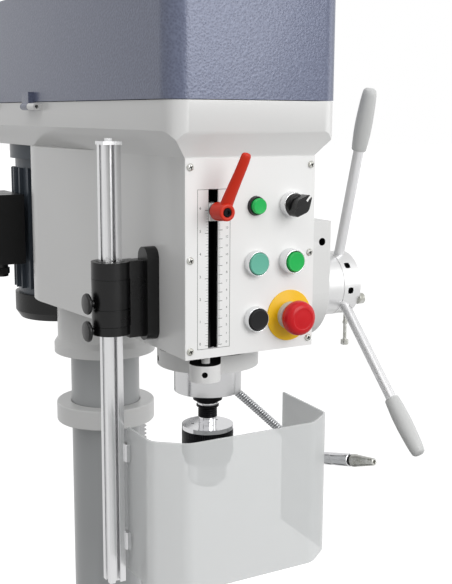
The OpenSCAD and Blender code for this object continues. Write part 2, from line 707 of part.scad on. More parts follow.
module button(x, z, out, r, stem) {
  head_frame() translate([x, 0, z]) rotate([90, 0, 0]) {
    translate([0, 0, -6]) cylinder(r = stem, h = 12);
    translate([0, 0, 4.8]) cylinder(r = r, h = out - 5.8);
    translate([0, 0, out - 1]) cylinder(r1 = r, r2 = r - 1, h = 1);
  }
}
module light_button() { color("limegreen") button(col_a, row_a, 10, 9, 5.3); }
module reverse_button() { color("mediumaquamarine") button(col_a, row_b, 10.5, 12.5, 8); }
module start_button() { color("springgreen") button(col_b, row_b, 16, 11.4, 8); }
module stop_button() { color("black") button(col_a, row_c, 10.5, 12.5, 8); }
module selector_knob() {
  color("black") head_frame() translate([col_b, 0, row_a]) rotate([90, 0, 0]) rotate([0, 0, 48]) {
    translate([0, 0, -6]) cylinder(r = 8, h = 10);
    translate([0, 0, 2]) cylinder(r = 11, h = 10);
    translate([0, 0, 10.6]) cylinder(r1 = 13.5, r2 = 12.5, h = 4);
    difference() {
      hull() {
        translate([-11, 0, 13]) cylinder(r = 4, h = 14, $fn = 32);
        translate([11, 0, 13]) cylinder(r = 4, h = 14, $fn = 32);
        translate([0, 0, 13]) cylinder(r = 9, h = 14, $fn = 32);
      }
      translate([7, -1.5, 26]) cube([12, 3, 2]);
    }
  }
}
module estop_base() {
  color("gold") head_frame() translate([col_b, 0, row_c]) rotate([90, 0, 0]) difference() {
    union() {
      cylinder(r = 30, h = 1.5);
      translate([0, 0, -30]) cylinder(r = 11, h = 31);
      cylinder(r1 = 16.5, r2 = 15, h = 8);
    }
    translate([0, 0, -12]) cylinder(r = 8.4, h = 24);
  }
}
module estop_button() {
  color("red") head_frame() translate([col_b, 0, row_c]) rotate([90, 0, 0]) {
    translate([0, 0, -6]) cylinder(r = 8, h = 20);
    translate([0, 0, 12]) rotate_extrude() polygon([[0, 0], [15, 0], [18.6, 2.4], [20.3, 6],
      [20.3, 11], [19.4, 15], [16.4, 18], [11, 19], [0, 19.6]]);
  }
}

// Guard: wall bracket, swivel drum, square post, U-shaped shield
knob_up = 57;
knob_low = 25;
module guard_bracket() {
  color("black") head_frame() difference() {
    union() {
      translate([-head_w / 2 - 15, 66, 23]) cube([15, 26, 84]);
      for (z = [23, 107]) translate([-head_w / 2 - 15, 79, z]) along_x() cylinder(r = 13, h = 15);
      translate([-118, 76, 15]) cube([118 - head_w / 2, 24, 89]);
      for (z = [20, 84.6]) translate([post_x, post_in, z]) cylinder(r = 22.2, h = z == 20 ? 10 : 20);
      for (z = [20, 84.6]) translate([post_x, 78, z]) cube([30, 20, z == 20 ? 10 : 20]);
    }
    translate([post_x, post_in, 0]) cylinder(r = 16.5 + gap, h = 120);
    translate([post_x, post_in, 30.4 - gap]) cylinder(r = 22.5 + gap, h = 54.2 + 2 * gap);
  }
}
module guard_drum() {
  color("black") post_frame() difference() {
    union() {
      translate([0, 0, 30.4]) cylinder(r = 22.2, h = 54.2);
      translate([0, 0, 19]) cylinder(r = 16.5, h = 86);
    }
    translate([-post_w / 2 - gap, -post_w / 2 - gap, 0]) cube([post_w + 2 * gap, post_w + 2 * gap, 120]);
    translate([0, 0, 49.5]) difference() {
      cylinder(r = 30, h = 1.4);
      cylinder(r = 21.2, h = 1.4);
    }
    translate([-30, 0, knob_up]) rotate([0, 90, 0]) cylinder(r = 4 + fit, h = 26);
  }
}
module knob_disc(z, reach) {
  post_frame() translate([0, 0, z]) rotate([0, -90, 0]) {
    translate([0, 0, reach]) cylinder(r = 4, h = 30 - reach);
    translate([0, 0, 26]) rotate_extrude() polygon([[0, 0], [9, 0], [12, 1.6], [12.4, 4], [11, 6], [0, 6.6]]);
  }
}
module guard_knob_upper() { color("black") knob_disc(knob_up, post_w / 2 + gap); }
module guard_knob_lower() { color("dimgrey") knob_disc(knob_low, 22.5); }
module post_profile() {
  difference() {
    square(post_w, center = true);
    for (a = [0:90:270]) rotate(a) {
      translate([-3.1, post_w / 2 - 2]) square([6.2, 3]);
      translate([-5, post_w / 2 - 5.5]) square([10, 4]);
    }
  }
}
module guard_post() {
  color("gainsboro") post_frame() {
    translate([0, 0, shield_top - shield_h - 10]) linear_extrude(236.6 - shield_top + shield_h + 10) post_profile();
    translate([-11.5, -11.5, 236.6]) cube([23, 23, 4]);
    translate([0, 0, 240.6]) cylinder(r = 5, h = 3.4, $fn = 6);
  }
}
// Shield outline: bent sheet, open at the back
function shield_path(o) = [[-119 + o, 86], [-119 + o, 23 + o / 2], [-84 + o / 2, -7 + o],
  [88 - o / 2, -7 + o], [124 - o, 20 + o / 2], [130 - o, 126]];
module guard_shield() {
  t = 3;
  outer = shield_path(0);
  inner = shield_path(t);
  n = len(outer);
  color([0.85, 0.88, 0.9, 0.4]) head_frame() translate([0, 0, shield_top - shield_h]) linear_extrude(shield_h)
    polygon(concat(outer, [for (i = [n - 1:-1:0]) inner[i]]));
}
module shield_clamp() {
  post_side = post_x + post_w / 2;
  color("gainsboro") head_frame() for (z = [shield_top - 40, shield_top - shield_h + 30]) translate([0, 0, z]) {
    translate([post_side, 74, 0]) cube([-119 - post_side, 22, 22]);
    translate([-116, 80, 11]) along_x() cylinder(r = 4.5, h = 4);
  }
}

// Coolant gooseneck: a stiff jointed hose that keeps its shape
hose_r = 6;
nozzle_start = [166, 79, -180];
nozzle_end = [182, -5, -162];
function nozzle_at(t) = nozzle_start + (nozzle_end - nozzle_start) * t;
hose_path = [[20, 331, -7], [20, 331, -20], [46, 290, -44], [78, 242, -82], [108, 198, -117], [134, 160, -149],
  [150, 126, -171], nozzle_at(-0.14), nozzle_at(0.07)];
module segment(a, b, r) {
  v = b - a;
  d = norm(v);
  translate(a) rotate([0, acos(v[2] / d), atan2(v[1], v[0])]) cylinder(r = r, h = d);
}
module coolant_gooseneck() {
  color("silver") head_frame() {
    for (i = [0:len(hose_path) - 2]) {
      segment(hose_path[i], hose_path[i + 1], hose_r);
      if (i > 0) translate(hose_path[i]) sphere(r = hose_r + 0.4);
    }
    translate([20, 331, -15]) cylinder(r = 9, h = 8, $fn = 6);
  }
}
module coolant_nozzle() {
  v = nozzle_end - nozzle_start;
  d = norm(v);
  color("silver") head_frame() translate(nozzle_start) rotate([0, acos(v[2] / d), atan2(v[1], v[0])])
    difference() {
      union() {
        cylinder(r = 8.6, h = 46);
        translate([0, 0, 46]) cylinder(r = 6.5, h = 5);
        translate([0, 0, 50]) cylinder(r = 8.6, h = 6);
        translate([0, 0, 56]) cylinder(r1 = 8.2, r2 = 4.4, h = d - 56);
      }
      translate([0, 0, 20]) cylinder(r = 2.4, h = d);
      translate([0, 0, -1]) cylinder(r = hose_r, h = 1 + 0.07 * d);
    }
}

base();
column_flange();
flange_bolts();
column();
rack();
upper_rack_ring();
table_bracket();
lift_shaft();
lift_crank();
crank_grip();
bracket_clamp_lever();
table();
head_casting();
belt_cover();
cover_knob();
motor_body();
motor_fan_cover();
terminal_box();
motor_pulley();
spindle_pulley();
v_belt();
quill();
quill_collar();
depth_rod();
depth_stop();
clamp_lever();
spindle();
quill_bearings();
chuck_arbor();
chuck_body();
chuck_sleeve();
jaw(0);  // jaw_1
jaw(1);  // jaw_2
jaw(2);  // jaw_3
feed_shaft();
feed_drum();
feed_hub();
handle_rods();
handle_grips();
feed_lock_pin();
spring_housing();
control_panel();
panel_screws();
button_bezels();
light_button();
reverse_button();
start_button();
stop_button();
selector_knob();
estop_base();
estop_button();
guard_bracket();
guard_drum();
guard_post();
guard_knob_upper();
guard_knob_lower();
guard_shield();
shield_clamp();
coolant_gooseneck();
coolant_nozzle();
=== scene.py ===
import math

import bmesh
import bpy
from mathutils import Matrix, Vector


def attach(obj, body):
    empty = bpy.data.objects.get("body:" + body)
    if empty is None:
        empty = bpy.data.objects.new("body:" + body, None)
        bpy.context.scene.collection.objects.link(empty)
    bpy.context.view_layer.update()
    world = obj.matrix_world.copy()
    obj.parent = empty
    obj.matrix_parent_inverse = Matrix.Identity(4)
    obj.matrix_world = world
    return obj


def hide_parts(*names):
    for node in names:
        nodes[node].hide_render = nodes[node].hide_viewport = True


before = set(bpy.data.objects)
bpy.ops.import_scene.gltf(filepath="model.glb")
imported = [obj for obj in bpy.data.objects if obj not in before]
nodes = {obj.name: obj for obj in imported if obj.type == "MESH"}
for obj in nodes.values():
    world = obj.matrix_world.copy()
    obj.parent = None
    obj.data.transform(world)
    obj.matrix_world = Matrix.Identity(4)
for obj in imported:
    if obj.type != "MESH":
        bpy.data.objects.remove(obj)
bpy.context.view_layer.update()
mm = 0.001

# Datums of the machine, in metres
panelY = -0.265
headZ = 1.250
spindleY = -0.162
feedY = panelY + 0.168
feedZ = headZ + 0.0395
front = (0, -1, 0)
upward = (0, 0, 1)


def headPoint(x, y, z):
    # mm from the panel's lower middle to metres
    return Vector((x * mm, panelY + y * mm, headZ + z * mm))


# Camera: place in metres, turn, tip and roll in degrees
view = {
    "place": (-0.5903, -1.2359, 1.5207),
    "turn": -29.84,
    "tip": 80.02,
    "roll": 0.32,
    "lens": 62.2,
}


def addCamera():
    data = bpy.data.cameras.new("camera")
    data.lens = view["lens"]
    data.sensor_width = 36
    data.clip_end = 60
    camera = bpy.data.objects.new("camera", data)
    bpy.context.scene.collection.objects.link(camera)
    spin = Matrix.Rotation(math.radians(view["turn"]), 4, "Z")
    tip = Matrix.Rotation(math.radians(view["tip"]), 4, "X")
    roll = Matrix.Rotation(math.radians(view["roll"]), 4, "Z")
    camera.matrix_world = Matrix.Translation(view["place"]) @ spin @ tip @ roll
    bpy.context.scene.camera = camera


addCamera()
print("camera placed")


def hexColour(code):
    def linear(v):
        return v / 12.92 if v <= 0.04045 else ((v + 0.055) / 1.055) ** 2.4

    code = code.lstrip("#")
    return tuple(linear(int(code[i : i + 2], 16) / 255) for i in (0, 2, 4)) + (1.0,)


def addNode(tree, kind, settings=None, links=None):
    node = tree.nodes.new(kind)
    for key, value in (settings or {}).items():
        if isinstance(key, int) or key in node.inputs:
            node.inputs[key].default_value = value
        else:
            setattr(node, key, value)
    for key, socket in (links or {}).items():
        tree.links.new(socket, node.inputs[key])
    return node


def newMaterial(name, colour, roughness, metallic=0.0, **sockets):
    material = bpy.data.materials.new(name)
    material.use_nodes = True
    tree = material.node_tree
    shader = tree.nodes["Principled BSDF"]
    shader.inputs["Base Color"].default_value = hexColour(colour)
    shader.inputs["Roughness"].default_value = roughness
    shader.inputs["Metallic"].default_value = metallic
    for key, value in sockets.items():
        shader.inputs[key.replace("_", " ")].default_value = value
    return material, tree, shader


def surfacePattern(tree, stretch=(1, 1, 1), centre=(0, 0, 0)):
    # object coordinates, so that a pattern stays on its piece
    place = addNode(tree, "ShaderNodeTexCoord")
    moved = addNode(tree, "ShaderNodeMapping", {"Location": centre, "Scale": stretch},
                    {"Vector": place.outputs["Object"]})
    return moved.outputs["Vector"]


def drive(tree, shader, tone=None, colours=(), ends=(0.3, 0.7), gloss=None, spread=(), height=None,
          depth=0.0, strength=1.0):
    # joins patterns to the shader: tone picks between two colours, gloss moves the roughness
    # between two values, height is relief depth mm deep
    if tone:
        ramp = addNode(tree, "ShaderNodeValToRGB", links={"Fac": tone})
        for element, colour, place in zip(ramp.color_ramp.elements, colours, ends):
            element.position = place
            element.color = hexColour(colour)
        tree.links.new(ramp.outputs["Color"], shader.inputs["Base Color"])
    if gloss:
        level = addNode(tree, "ShaderNodeMapRange",
                        {"From Min": 0.3, "From Max": 0.7, "To Min": spread[0], "To Max": spread[1]},
                        {"Value": gloss})
        tree.links.new(level.outputs["Result"], shader.inputs["Roughness"])
    if height:
        bump = addNode(tree, "ShaderNodeBump", {"Strength": strength, "Distance": depth * mm},
                       {"Height": height})
        tree.links.new(bump.outputs["Normal"], shader.inputs["Normal"])


def surfaceGrain(tree, *grains):
    # broad and fine marks, each as its size in mm and its detail
    vector = surfacePattern(tree)
    return [addNode(tree, "ShaderNodeTexNoise", {"Scale": 1 / (size * mm), "Detail": detail},
                    {"Vector": vector}).outputs["Fac"] for size, detail in grains]


def enamel(name, pale, shade, roughness, peel):
    # sprayed gloss enamel on a casting: soft highlights, faint orange peel about 3 mm across
    material, tree, shader = newMaterial(name, pale, roughness, Coat_Weight=0.25, Coat_Roughness=0.16)
    broad, fine = surfaceGrain(tree, (120, 1.0), (3.2, 2.0))
    drive(tree, shader, tone=broad, colours=(shade, pale), gloss=broad,
          spread=(roughness - 0.02, roughness + 0.03), height=fine, depth=peel)
    return material


def hammeredEnamel():
    # hammer-finish stoving enamel: dimples 2 to 3 mm across with brighter rims, a cool blue grey
    material, tree, shader = newMaterial("hammeredEnamel", "#62687e", 0.34, 0.15, Coat_Weight=0.3,
                                         Coat_Roughness=0.18)
    vector = surfacePattern(tree)
    wander = addNode(tree, "ShaderNodeTexNoise", {"Scale": 1 / (6 * mm), "Detail": 2.0}, {"Vector": vector})
    bent = addNode(tree, "ShaderNodeVectorMath", {"operation": "SCALE", "Scale": 1.8 * mm},
                   {0: wander.outputs["Color"]})
    moved = addNode(tree, "ShaderNodeVectorMath", {"operation": "ADD"},
                    {0: vector, 1: bent.outputs["Vector"]})
    cells = addNode(tree, "ShaderNodeTexVoronoi",
                    {"feature": "SMOOTH_F1", "Scale": 1 / (2.7 * mm), "Smoothness": 0.6},
                    {"Vector": moved.outputs["Vector"]})
    drive(tree, shader, tone=cells.outputs["Distance"], colours=("#595f76", "#6a7188"), ends=(0.15, 0.8),
          height=cells.outputs["Distance"], depth=0.3, strength=0.85)
    return material


def linedMetal(name, colour, roughness, spacing, depth):
    # turned, ground or drawn metal: fine lines, drawn coarser than real so they read;
    # spacing is the size of the marks along X, Y and Z in mm
    material, tree, shader = newMaterial(name, colour, roughness, 1.0)
    lines = addNode(tree, "ShaderNodeTexNoise", {"Scale": 1.0, "Detail": 2.0},
                    {"Vector": surfacePattern(tree, tuple(1000 / v for v in spacing))})
    drive(tree, shader, gloss=lines.outputs["Fac"], spread=(roughness - 0.04, roughness + 0.06),
          height=lines.outputs["Fac"], depth=depth, strength=0.5)
    return material


def depthRodPaint():
    # white enamel at the lower end; above it, inside the head, the rod is painted black as painted shade, so
    # the slot reads dark
    material, tree, shader = newMaterial("rodEnamelAndPaintedShade", "#dededc", 0.3)
    parts = addNode(tree, "ShaderNodeSeparateXYZ", links={"Vector": surfacePattern(tree)})
    # painted shade: black above the head's lower face, where the rod stands in the slot's shade
    upper = addNode(tree, "ShaderNodeMath", {"operation": "GREATER_THAN", 1: headZ + 4 * mm},
                    {0: parts.outputs["Z"]})
    drive(tree, shader, tone=upper.outputs[0], colours=("#dededc", "#0d0d0e"), ends=(0.4, 0.6))
    return material


def mouldedPlastic(name, colour, roughness, texture, depth, shine=0.5):
    # injection-moulded plastic with a spark-eroded grain
    material, tree, shader = newMaterial(name, colour, roughness, Specular_IOR_Level=shine)
    broad, fine = surfaceGrain(tree, (25, 2.0), (texture, 3.0))
    drive(tree, shader, gloss=broad, spread=(roughness - 0.04, roughness + 0.06), height=fine, depth=depth)
    return material


def frostedSheet():
    # 3 mm polycarbonate, lightly frosted: milky, shows what is behind it softly
    material, tree, shader = newMaterial("frostedPolycarbonate", "#e2e4e4", 0.34, IOR=1.58, Alpha=0.66)
    haze, fine = surfaceGrain(tree, (90, 3.0), (1.6, 2.0))
    drive(tree, shader, gloss=haze, spread=(0.28, 0.42), height=fine, depth=0.02)
    return material


def knurledOxide():
    # crossed knurling at 1.5 mm pitch on black oxide steel, worn brighter on the points
    material, tree, shader = newMaterial("knurledOxide", "#1c1c1e", 0.42, 0.9)
    vector = surfacePattern(tree, (1, 1, 1), (0, -spindleY, 0))
    parts = addNode(tree, "ShaderNodeSeparateXYZ", links={"Vector": vector})
    angle = addNode(tree, "ShaderNodeMath", {"operation": "ARCTAN2"},
                    {0: parts.outputs["Y"], 1: parts.outputs["X"]})
    around = addNode(tree, "ShaderNodeMath", {"operation": "MULTIPLY", 1: 32.5 * mm}, {0: angle.outputs[0]})
    waves = []
    for sign in (1, -1):
        lean = addNode(tree, "ShaderNodeMath", {"operation": "MULTIPLY_ADD", 1: float(sign)},
                       {0: parts.outputs["Z"], 2: around.outputs[0]})
        phase = addNode(tree, "ShaderNodeMath", {"operation": "MULTIPLY", 1: 2 * math.pi / (1.5 * mm)},
                        {0: lean.outputs[0]})
        waves.append(addNode(tree, "ShaderNodeMath", {"operation": "SINE"}, {0: phase.outputs[0]}))
    both = addNode(tree, "ShaderNodeMath", {"operation": "ADD"},
                   {0: waves[0].outputs[0], 1: waves[1].outputs[0]})
    drive(tree, shader, tone=both.outputs[0], colours=("#141416", "#5b5b5e"), ends=(0.2, 1.0),
          height=both.outputs[0], depth=0.25)
    return material


def glossPlastic(name, colour, roughness, shine=0.5, glow=0.0):
    # polished moulded cap: smooth, with very faint flow marks
    material, tree, shader = newMaterial(name, colour, roughness, Specular_IOR_Level=shine)
    if glow:
        shader.inputs["Emission Color"].default_value = hexColour(colour)
        shader.inputs["Emission Strength"].default_value = glow
    drive(tree, shader, height=surfaceGrain(tree, (4, 2.0))[0], depth=0.02)
    return material


def castIron():
    # ground cast iron: grey with fine dark graphite flecks and a low sheen
    material, tree, shader = newMaterial("groundCastIron", "#8d8e8d", 0.38, 1.0)
    flecks = surfaceGrain(tree, (2.5, 4.0))[0]
    streaks = addNode(tree, "ShaderNodeTexNoise", {"Scale": 1.0, "Detail": 2.0},
                      {"Vector": surfacePattern(tree, (900, 25, 900))})
    drive(tree, shader, tone=flecks, colours=("#6d6e6e", "#a3a4a3"), gloss=streaks.outputs["Fac"],
          spread=(0.3, 0.48), height=streaks.outputs["Fac"], depth=0.01)
    return material


def zincPlate():
    # bright zinc passivate: pale, a little blotchy
    material, tree, shader = newMaterial("zincPlate", "#c9c9c5", 0.3, 1.0)
    blotch = surfaceGrain(tree, (7, 3.0))[0]
    drive(tree, shader, tone=blotch, colours=("#b9b9b0", "#d2d2cf"), gloss=blotch, spread=(0.22, 0.36))
    return material


def printedSheet(name, pale):
    # powder-coated sheet steel under a printed film, almost flat
    material, tree, shader = newMaterial(name, pale, 0.38)
    broad, fine = surfaceGrain(tree, (50, 2.0), (1.4, 2.0))
    drive(tree, shader, gloss=broad, spread=(0.32, 0.44), height=fine, depth=0.01)
    return material


finish = {
    "whiteEnamel": enamel("whiteEnamel", "#e0e0df", "#dddddc", 0.3, 0.005),
    "baseEnamel": enamel("baseEnamel", "#cfcfcd", "#cbcbca", 0.32, 0.012),
    "columnEnamel": enamel("columnEnamel", "#acaeaf", "#a8aaab", 0.3, 0.006),
    "motorEnamel": enamel("motorEnamel", "#4c545d", "#464d56", 0.34, 0.03),
    "hammered": hammeredEnamel(),
    "groundSteel": linedMetal("groundSteel", "#d6d6d7", 0.2, (40, 40, 0.9), 0.0008),
    "turnedSteel": linedMetal("turnedSteel", "#b9b9ba", 0.3, (40, 40, 1.1), 0.002),
    "plate": linedMetal("brightPlate", "#e4e4e6", 0.13, (60, 60, 2.2), 0.0006),
    "hoseSteel": linedMetal("hoseSteel", "#bebfc1", 0.26, (8, 8, 8), 0.002),
    "bezelChrome": linedMetal("satinChrome", "#e4e5e6", 0.2, (20, 20, 20), 0.0006),
    "satinAluminium": linedMetal("satinAluminium", "#e6e6e6", 0.38, (0.9, 30, 30), 0.0014),
    "rodAluminium": linedMetal("rodAluminium", "#dededf", 0.42, (1, 1, 1), 0.0005),
    "postAluminium": linedMetal("anodisedAluminium", "#e8e8e9", 0.22, (1.2, 1.2, 120), 0.001),
    "blackSteel": linedMetal("blackenedSteel", "#1e1e20", 0.34, (40, 40, 1.3), 0.003),
    "rodPaintedShade": depthRodPaint(),
    # painted shade: near black laid on faces in holes, slots and under the head, standing for the shade that
    # falls there
    "paintedShadeBlack": mouldedPlastic("paintedShadeBlack", "#060607", 0.8, 3.0, 0.05, 0.1),
    "knurl": knurledOxide(),
    "castIron": castIron(),
    "zinc": zincPlate(),
    "panel": printedSheet("printedPanel", "#eeeeed"),
    "ink": printedSheet("blackInk", "#1d1d20"),
    "blackPlastic": mouldedPlastic("blackMouldedNylon", "#0b0b0c", 0.3, 1.2, 0.012, 0.4),
    "greyPlastic": mouldedPlastic("greyMouldedGrip", "#c6c7c6", 0.42, 1.2, 0.01),
    "rubber": mouldedPlastic("beltRubber", "#121212", 0.7, 0.9, 0.05),
    "whitePlastic": glossPlastic("whiteCap", "#f1f1ef", 0.3),
    "redPlastic": glossPlastic("redLever", "#c92a10", 0.36, 0.3),
    "redButton": glossPlastic("redMushroom", "#c8101a", 0.32, 0.3),
    "greenLens": glossPlastic("greenLens", "#17b052", 0.26, 0.4, 0.1),
    # painted light: the start button is no lamp, yet it glows faintly in its own green
    "greenButton": glossPlastic("greenButton", "#14b04f", 0.28, 0.4, 0.05),
    "tealButton": glossPlastic("tealButton", "#66b59e", 0.34, 0.4),
    "blackButton": glossPlastic("blackButton", "#111113", 0.34, 0.3),
    "yellowPlate": glossPlastic("yellowPlate", "#f0c010", 0.36, 0.4),
    "shield": frostedSheet(),
}
print("materials made")


def cleanCopy(node, weld=0.01):
    # a node's mesh with its loose triangles joined and its flat faces made whole
    mesh = bmesh.new()
    mesh.from_mesh(nodes[node].data)
    bmesh.ops.remove_doubles(mesh, verts=mesh.verts, dist=weld * mm)
    bmesh.ops.dissolve_limit(mesh, angle_limit=math.radians(0.6), verts=mesh.verts, edges=mesh.edges)
    return mesh


def addPiece(name, mesh, body, material, replaced=(), smooth=35):
    data = bpy.data.meshes.new(name)
    if isinstance(mesh, bmesh.types.BMesh):
        mesh.to_mesh(data)
        mesh.free()
    else:
        data = mesh
        data.name = name
        data.materials.clear()
    for one in material if isinstance(material, (list, tuple)) else [material]:
        data.materials.append(finish[one])
    piece = bpy.data.objects.new(name, data)
    bpy.context.scene.collection.objects.link(piece)
    data.shade_smooth()
    if smooth:
        data.set_sharp_from_angle(angle=math.radians(smooth))
    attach(piece, body)
    if replaced:
        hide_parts(*replaced)
    return piece


def edgeWork(piece, width, segments=3, angle=32):
    bevel = piece.modifiers.new("edges", "BEVEL")
    bevel.width = width * mm
    bevel.segments = segments
    bevel.limit_method = "ANGLE"
    bevel.angle_limit = math.radians(angle)
    bevel.use_clamp_overlap = True
    bevel.harden_normals = True


def casting(node, name, body, material, slot, radius, segments=3, recess=None):
    # a CAD node with its corners rounded the way a casting's or a moulding's are; recess picks the faces
    # that lie in deep shadow, from a face's middle (mm from the panel) and its normal, and gives them a
    # near-black painted shade
    mesh = cleanCopy(node)
    for face in mesh.faces:
        if recess and recess((face.calc_center_median() - headPoint(0, 0, 0)) / mm, face.normal):
            face.material_index = 1
    finishes = [material, "paintedShadeBlack"] if recess else material
    edgeWork(addPiece(name, mesh, body, finishes, [node], 32), radius, segments)


def castings(parts):
    for node, part in parts.items():
        casting(node, *part)


def lathe(mesh, profile, origin, axis, steps=48):
    # spins (radius, height) pairs in mm about an axis; the profile runs from pole to pole
    axis = Vector(axis).normalized()
    turn = Vector((0, 0, 1)).rotation_difference(axis).to_matrix()
    origin = Vector(origin)
    rings = []
    for radius, height in profile:
        if radius < 1e-6:
            rings.append([mesh.verts.new(origin + turn @ Vector((0, 0, height * mm)))])
        else:
            spots = [Matrix.Rotation(2 * math.pi * i / steps, 3, "Z") @ Vector((radius * mm, 0, height * mm))
                     for i in range(steps)]
            rings.append([mesh.verts.new(origin + turn @ spot) for spot in spots])
    for low, high in zip(rings, rings[1:]):
        for i in range(steps):
            j = (i + 1) % steps
            corners = [low[i % len(low)], low[j % len(low)], high[j % len(high)], high[i % len(high)]]
            corners = list(dict.fromkeys(corners))
            if len(corners) > 2:
                mesh.faces.new(corners)


def roundedProfile(points, bend=0.8):
    # cuts each corner of a profile back by bend mm, to leave a small radius there
    out = [points[0]]
    for before, here, after in zip(points, points[1:], points[2:]):
        a, b, c = Vector(before), Vector(here), Vector(after)
        cut = min(bend, (a - b).length * 0.4, (c - b).length * 0.4)
        p, q = b + (a - b).normalized() * cut, b + (c - b).normalized() * cut
        out += [tuple(p), tuple(p * 0.3 + b * 0.4 + q * 0.3), tuple(q)]
    return out + [points[-1]]


def turnedPiece(name, profile, origin, axis, body, material, replaced=(), bend=0.8, steps=64,
                smooth=50):
    mesh = bmesh.new()
    lathe(mesh, roundedProfile(profile, bend) if bend else profile, origin, axis, steps)
    closedPiece(name, mesh, body, material, replaced, smooth)


def closedPiece(name, mesh, body, material, replaced=(), smooth=50):
    # joins a ring profile's two ends and turns the faces outwards
    bmesh.ops.remove_doubles(mesh, verts=mesh.verts, dist=1e-7)
    bmesh.ops.recalc_face_normals(mesh, faces=mesh.faces)
    addPiece(name, mesh, body, material, replaced, smooth)


# Geometry Nodes trees share this start: a group with named inputs
def startTree(name, inputs):
    tree = bpy.data.node_groups.new(name, "GeometryNodeTree")
    tree.interface.new_socket("Geometry", in_out="INPUT", socket_type="NodeSocketGeometry")
    ids = {}
    for label, kind, value in inputs:
        socket = tree.interface.new_socket(label, in_out="INPUT", socket_type=kind)
        if value is not None:
            socket.default_value = value
        ids[label] = socket.identifier
    tree.interface.new_socket("Geometry", in_out="OUTPUT", socket_type="NodeSocketGeometry")
    return tree, addNode(tree, "NodeGroupInput"), addNode(tree, "NodeGroupOutput"), ids


def runTree(name, tree, ids, values, source):
    # evaluates a tree on a source object and returns the plain mesh
    bpy.context.scene.collection.objects.link(source)
    modifier = source.modifiers.new("build", "NODES")
    modifier.node_group = tree
    for label, value in values.items():
        modifier[ids[label]] = value
    bpy.context.view_layer.update()
    mesh = bpy.data.meshes.new_from_object(source.evaluated_get(bpy.context.evaluated_depsgraph_get()))
    source.modifiers.remove(modifier)
    bpy.data.objects.remove(source)
    mesh.name = name
    return mesh


def finishTree(tree, group, instances, material):
    real = addNode(tree, "GeometryNodeRealizeInstances", links={"Geometry": instances})
    painted = addNode(tree, "GeometryNodeSetMaterial", links={"Geometry": real.outputs[0]})
    painted.inputs["Material"].default_value = finish[material]
    tree.links.new(painted.outputs[0], group.inputs[0])


def pointMesh(name, points):
    data = bpy.data.meshes.new(name)
    data.from_pydata([tuple(p) for p in points], [], [])
    return bpy.data.objects.new(name, data)


def smallMesh(name, mesh):
    # one small shape for a tree to repeat
    data = bpy.data.meshes.new(name)
    mesh.to_mesh(data)
    mesh.free()
    data.shade_smooth()
    data.set_sharp_from_angle(angle=math.radians(35))
    shape = bpy.data.objects.new(name, data)
    bpy.context.scene.collection.objects.link(shape)
    return shape


# Castings and plain parts: piece name, body, finish, slot, edge radius in mm, and bevel segments
standParts = {
    "base": ("basePlate", "frame", "baseEnamel", "cast_paint", 6, 4),
    "column_flange": ("columnFoot", "frame", "baseEnamel", "cast_paint", 3),
    "flange_bolts": ("footBolts", "frame", "zinc", "zinc_steel", 0.8),
    "upper_rack_ring": ("upperRing", "frame", "whiteEnamel", "white_paint", 2.5),
    "table": ("workTable", "table", "castIron", "ground_iron", 3),
    "table_bracket": ("tableArm", "table_bracket", "whiteEnamel", "white_paint", 3),
    "lift_crank": ("tableCrank", "lift_crank", "zinc", "zinc_steel", 1.5),
    "crank_grip": ("crankHandle", "crank_grip", "blackPlastic", "black_plastic", 1.0),
    "bracket_clamp_lever": ("tableClamp", "bracket_clamp", "blackSteel", "dark_steel", 1.0),
    "column": ("columnTube", "frame", "columnEnamel", "column_paint", 1.0),
}
castings(standParts)
print("base, column and table made")


def headRecess(spot, normal):
    # painted shade: the box behind the depth slot, and the bolt hole in the feed boss, painted near black for
    # the shade inside them
    box = abs(spot.x) < 72.5 and 0.5 < spot.y < 47.5 and -1 < spot.z < 213
    deep = abs(normal.y) < 0.3 or spot.y > 124
    return box or (deep and abs(spot.y - 112) < 13.5 and math.hypot(spot.x - 168, spot.z - 108) < 5.3)


def collarRecess(spot, normal):
    # painted shade: the clamp's upper face, in the shadow under the head, and its two screw holes, painted
    # near black
    fromEar = Vector((spot.x + 64, spot.y + 7))
    inEar = math.hypot(fromEar.dot((-0.883, 0.469)), spot.z + 20) < 3.6 and fromEar.dot((0.469, 0.883)) > 9.6
    inSide = math.hypot(spot.y - 119, spot.z + 25) < 3.6 and -60.5 < spot.x < -49
    return normal.z > 0.9 or inEar or inSide


headParts = {
    "head_casting": ("headBody", "frame", "whiteEnamel", "white_paint", 4.5, 4, headRecess),
    "belt_cover": ("beltHood", "belt_cover", "hammered", "hammer_paint", 9, 5),
    "spring_housing": ("springCup", "frame", "blackPlastic", "black_plastic", 1.5),
    "motor_body": ("motorBody", "frame", "motorEnamel", "motor_paint", 1.0),
    "motor_fan_cover": ("fanCowl", "frame", "blackPlastic", "black_plastic", 1.5),
    "terminal_box": ("terminalBox", "frame", "blackPlastic", "black_plastic", 3),
    "quill": ("quillSleeve", "quill", "groundSteel", "ground_steel", 0.8),
    "quill_collar": ("quillClamp", "quill", "whiteEnamel", "white_paint", 2.0, 3, collarRecess),
    "cover_knob": ("hoodKnob", "belt_cover", "blackPlastic", "black_plastic", 0.8),
}
castings(headParts)
print("head made")


# Panel screws: pan heads, their cross recess shown as a thin black cross of painted shade on the head, in mm
screws = {"radius": 4.3, "height": 2.4, "across": (-79, 79), "up": (9.7, 112, 214.3)}


def screwHead():
    radius, height = screws["radius"], screws["height"]
    profile = [(0, 0), (radius, 0), (radius, height * 0.4), (radius * 0.62, height), (0, height)]
    mesh = bmesh.new()
    lathe(mesh, roundedProfile(profile, 0.3), (0, 0, 0), upward, 20)
    bmesh.ops.recalc_face_normals(mesh, faces=mesh.faces)
    return smallMesh("screwHead", mesh)


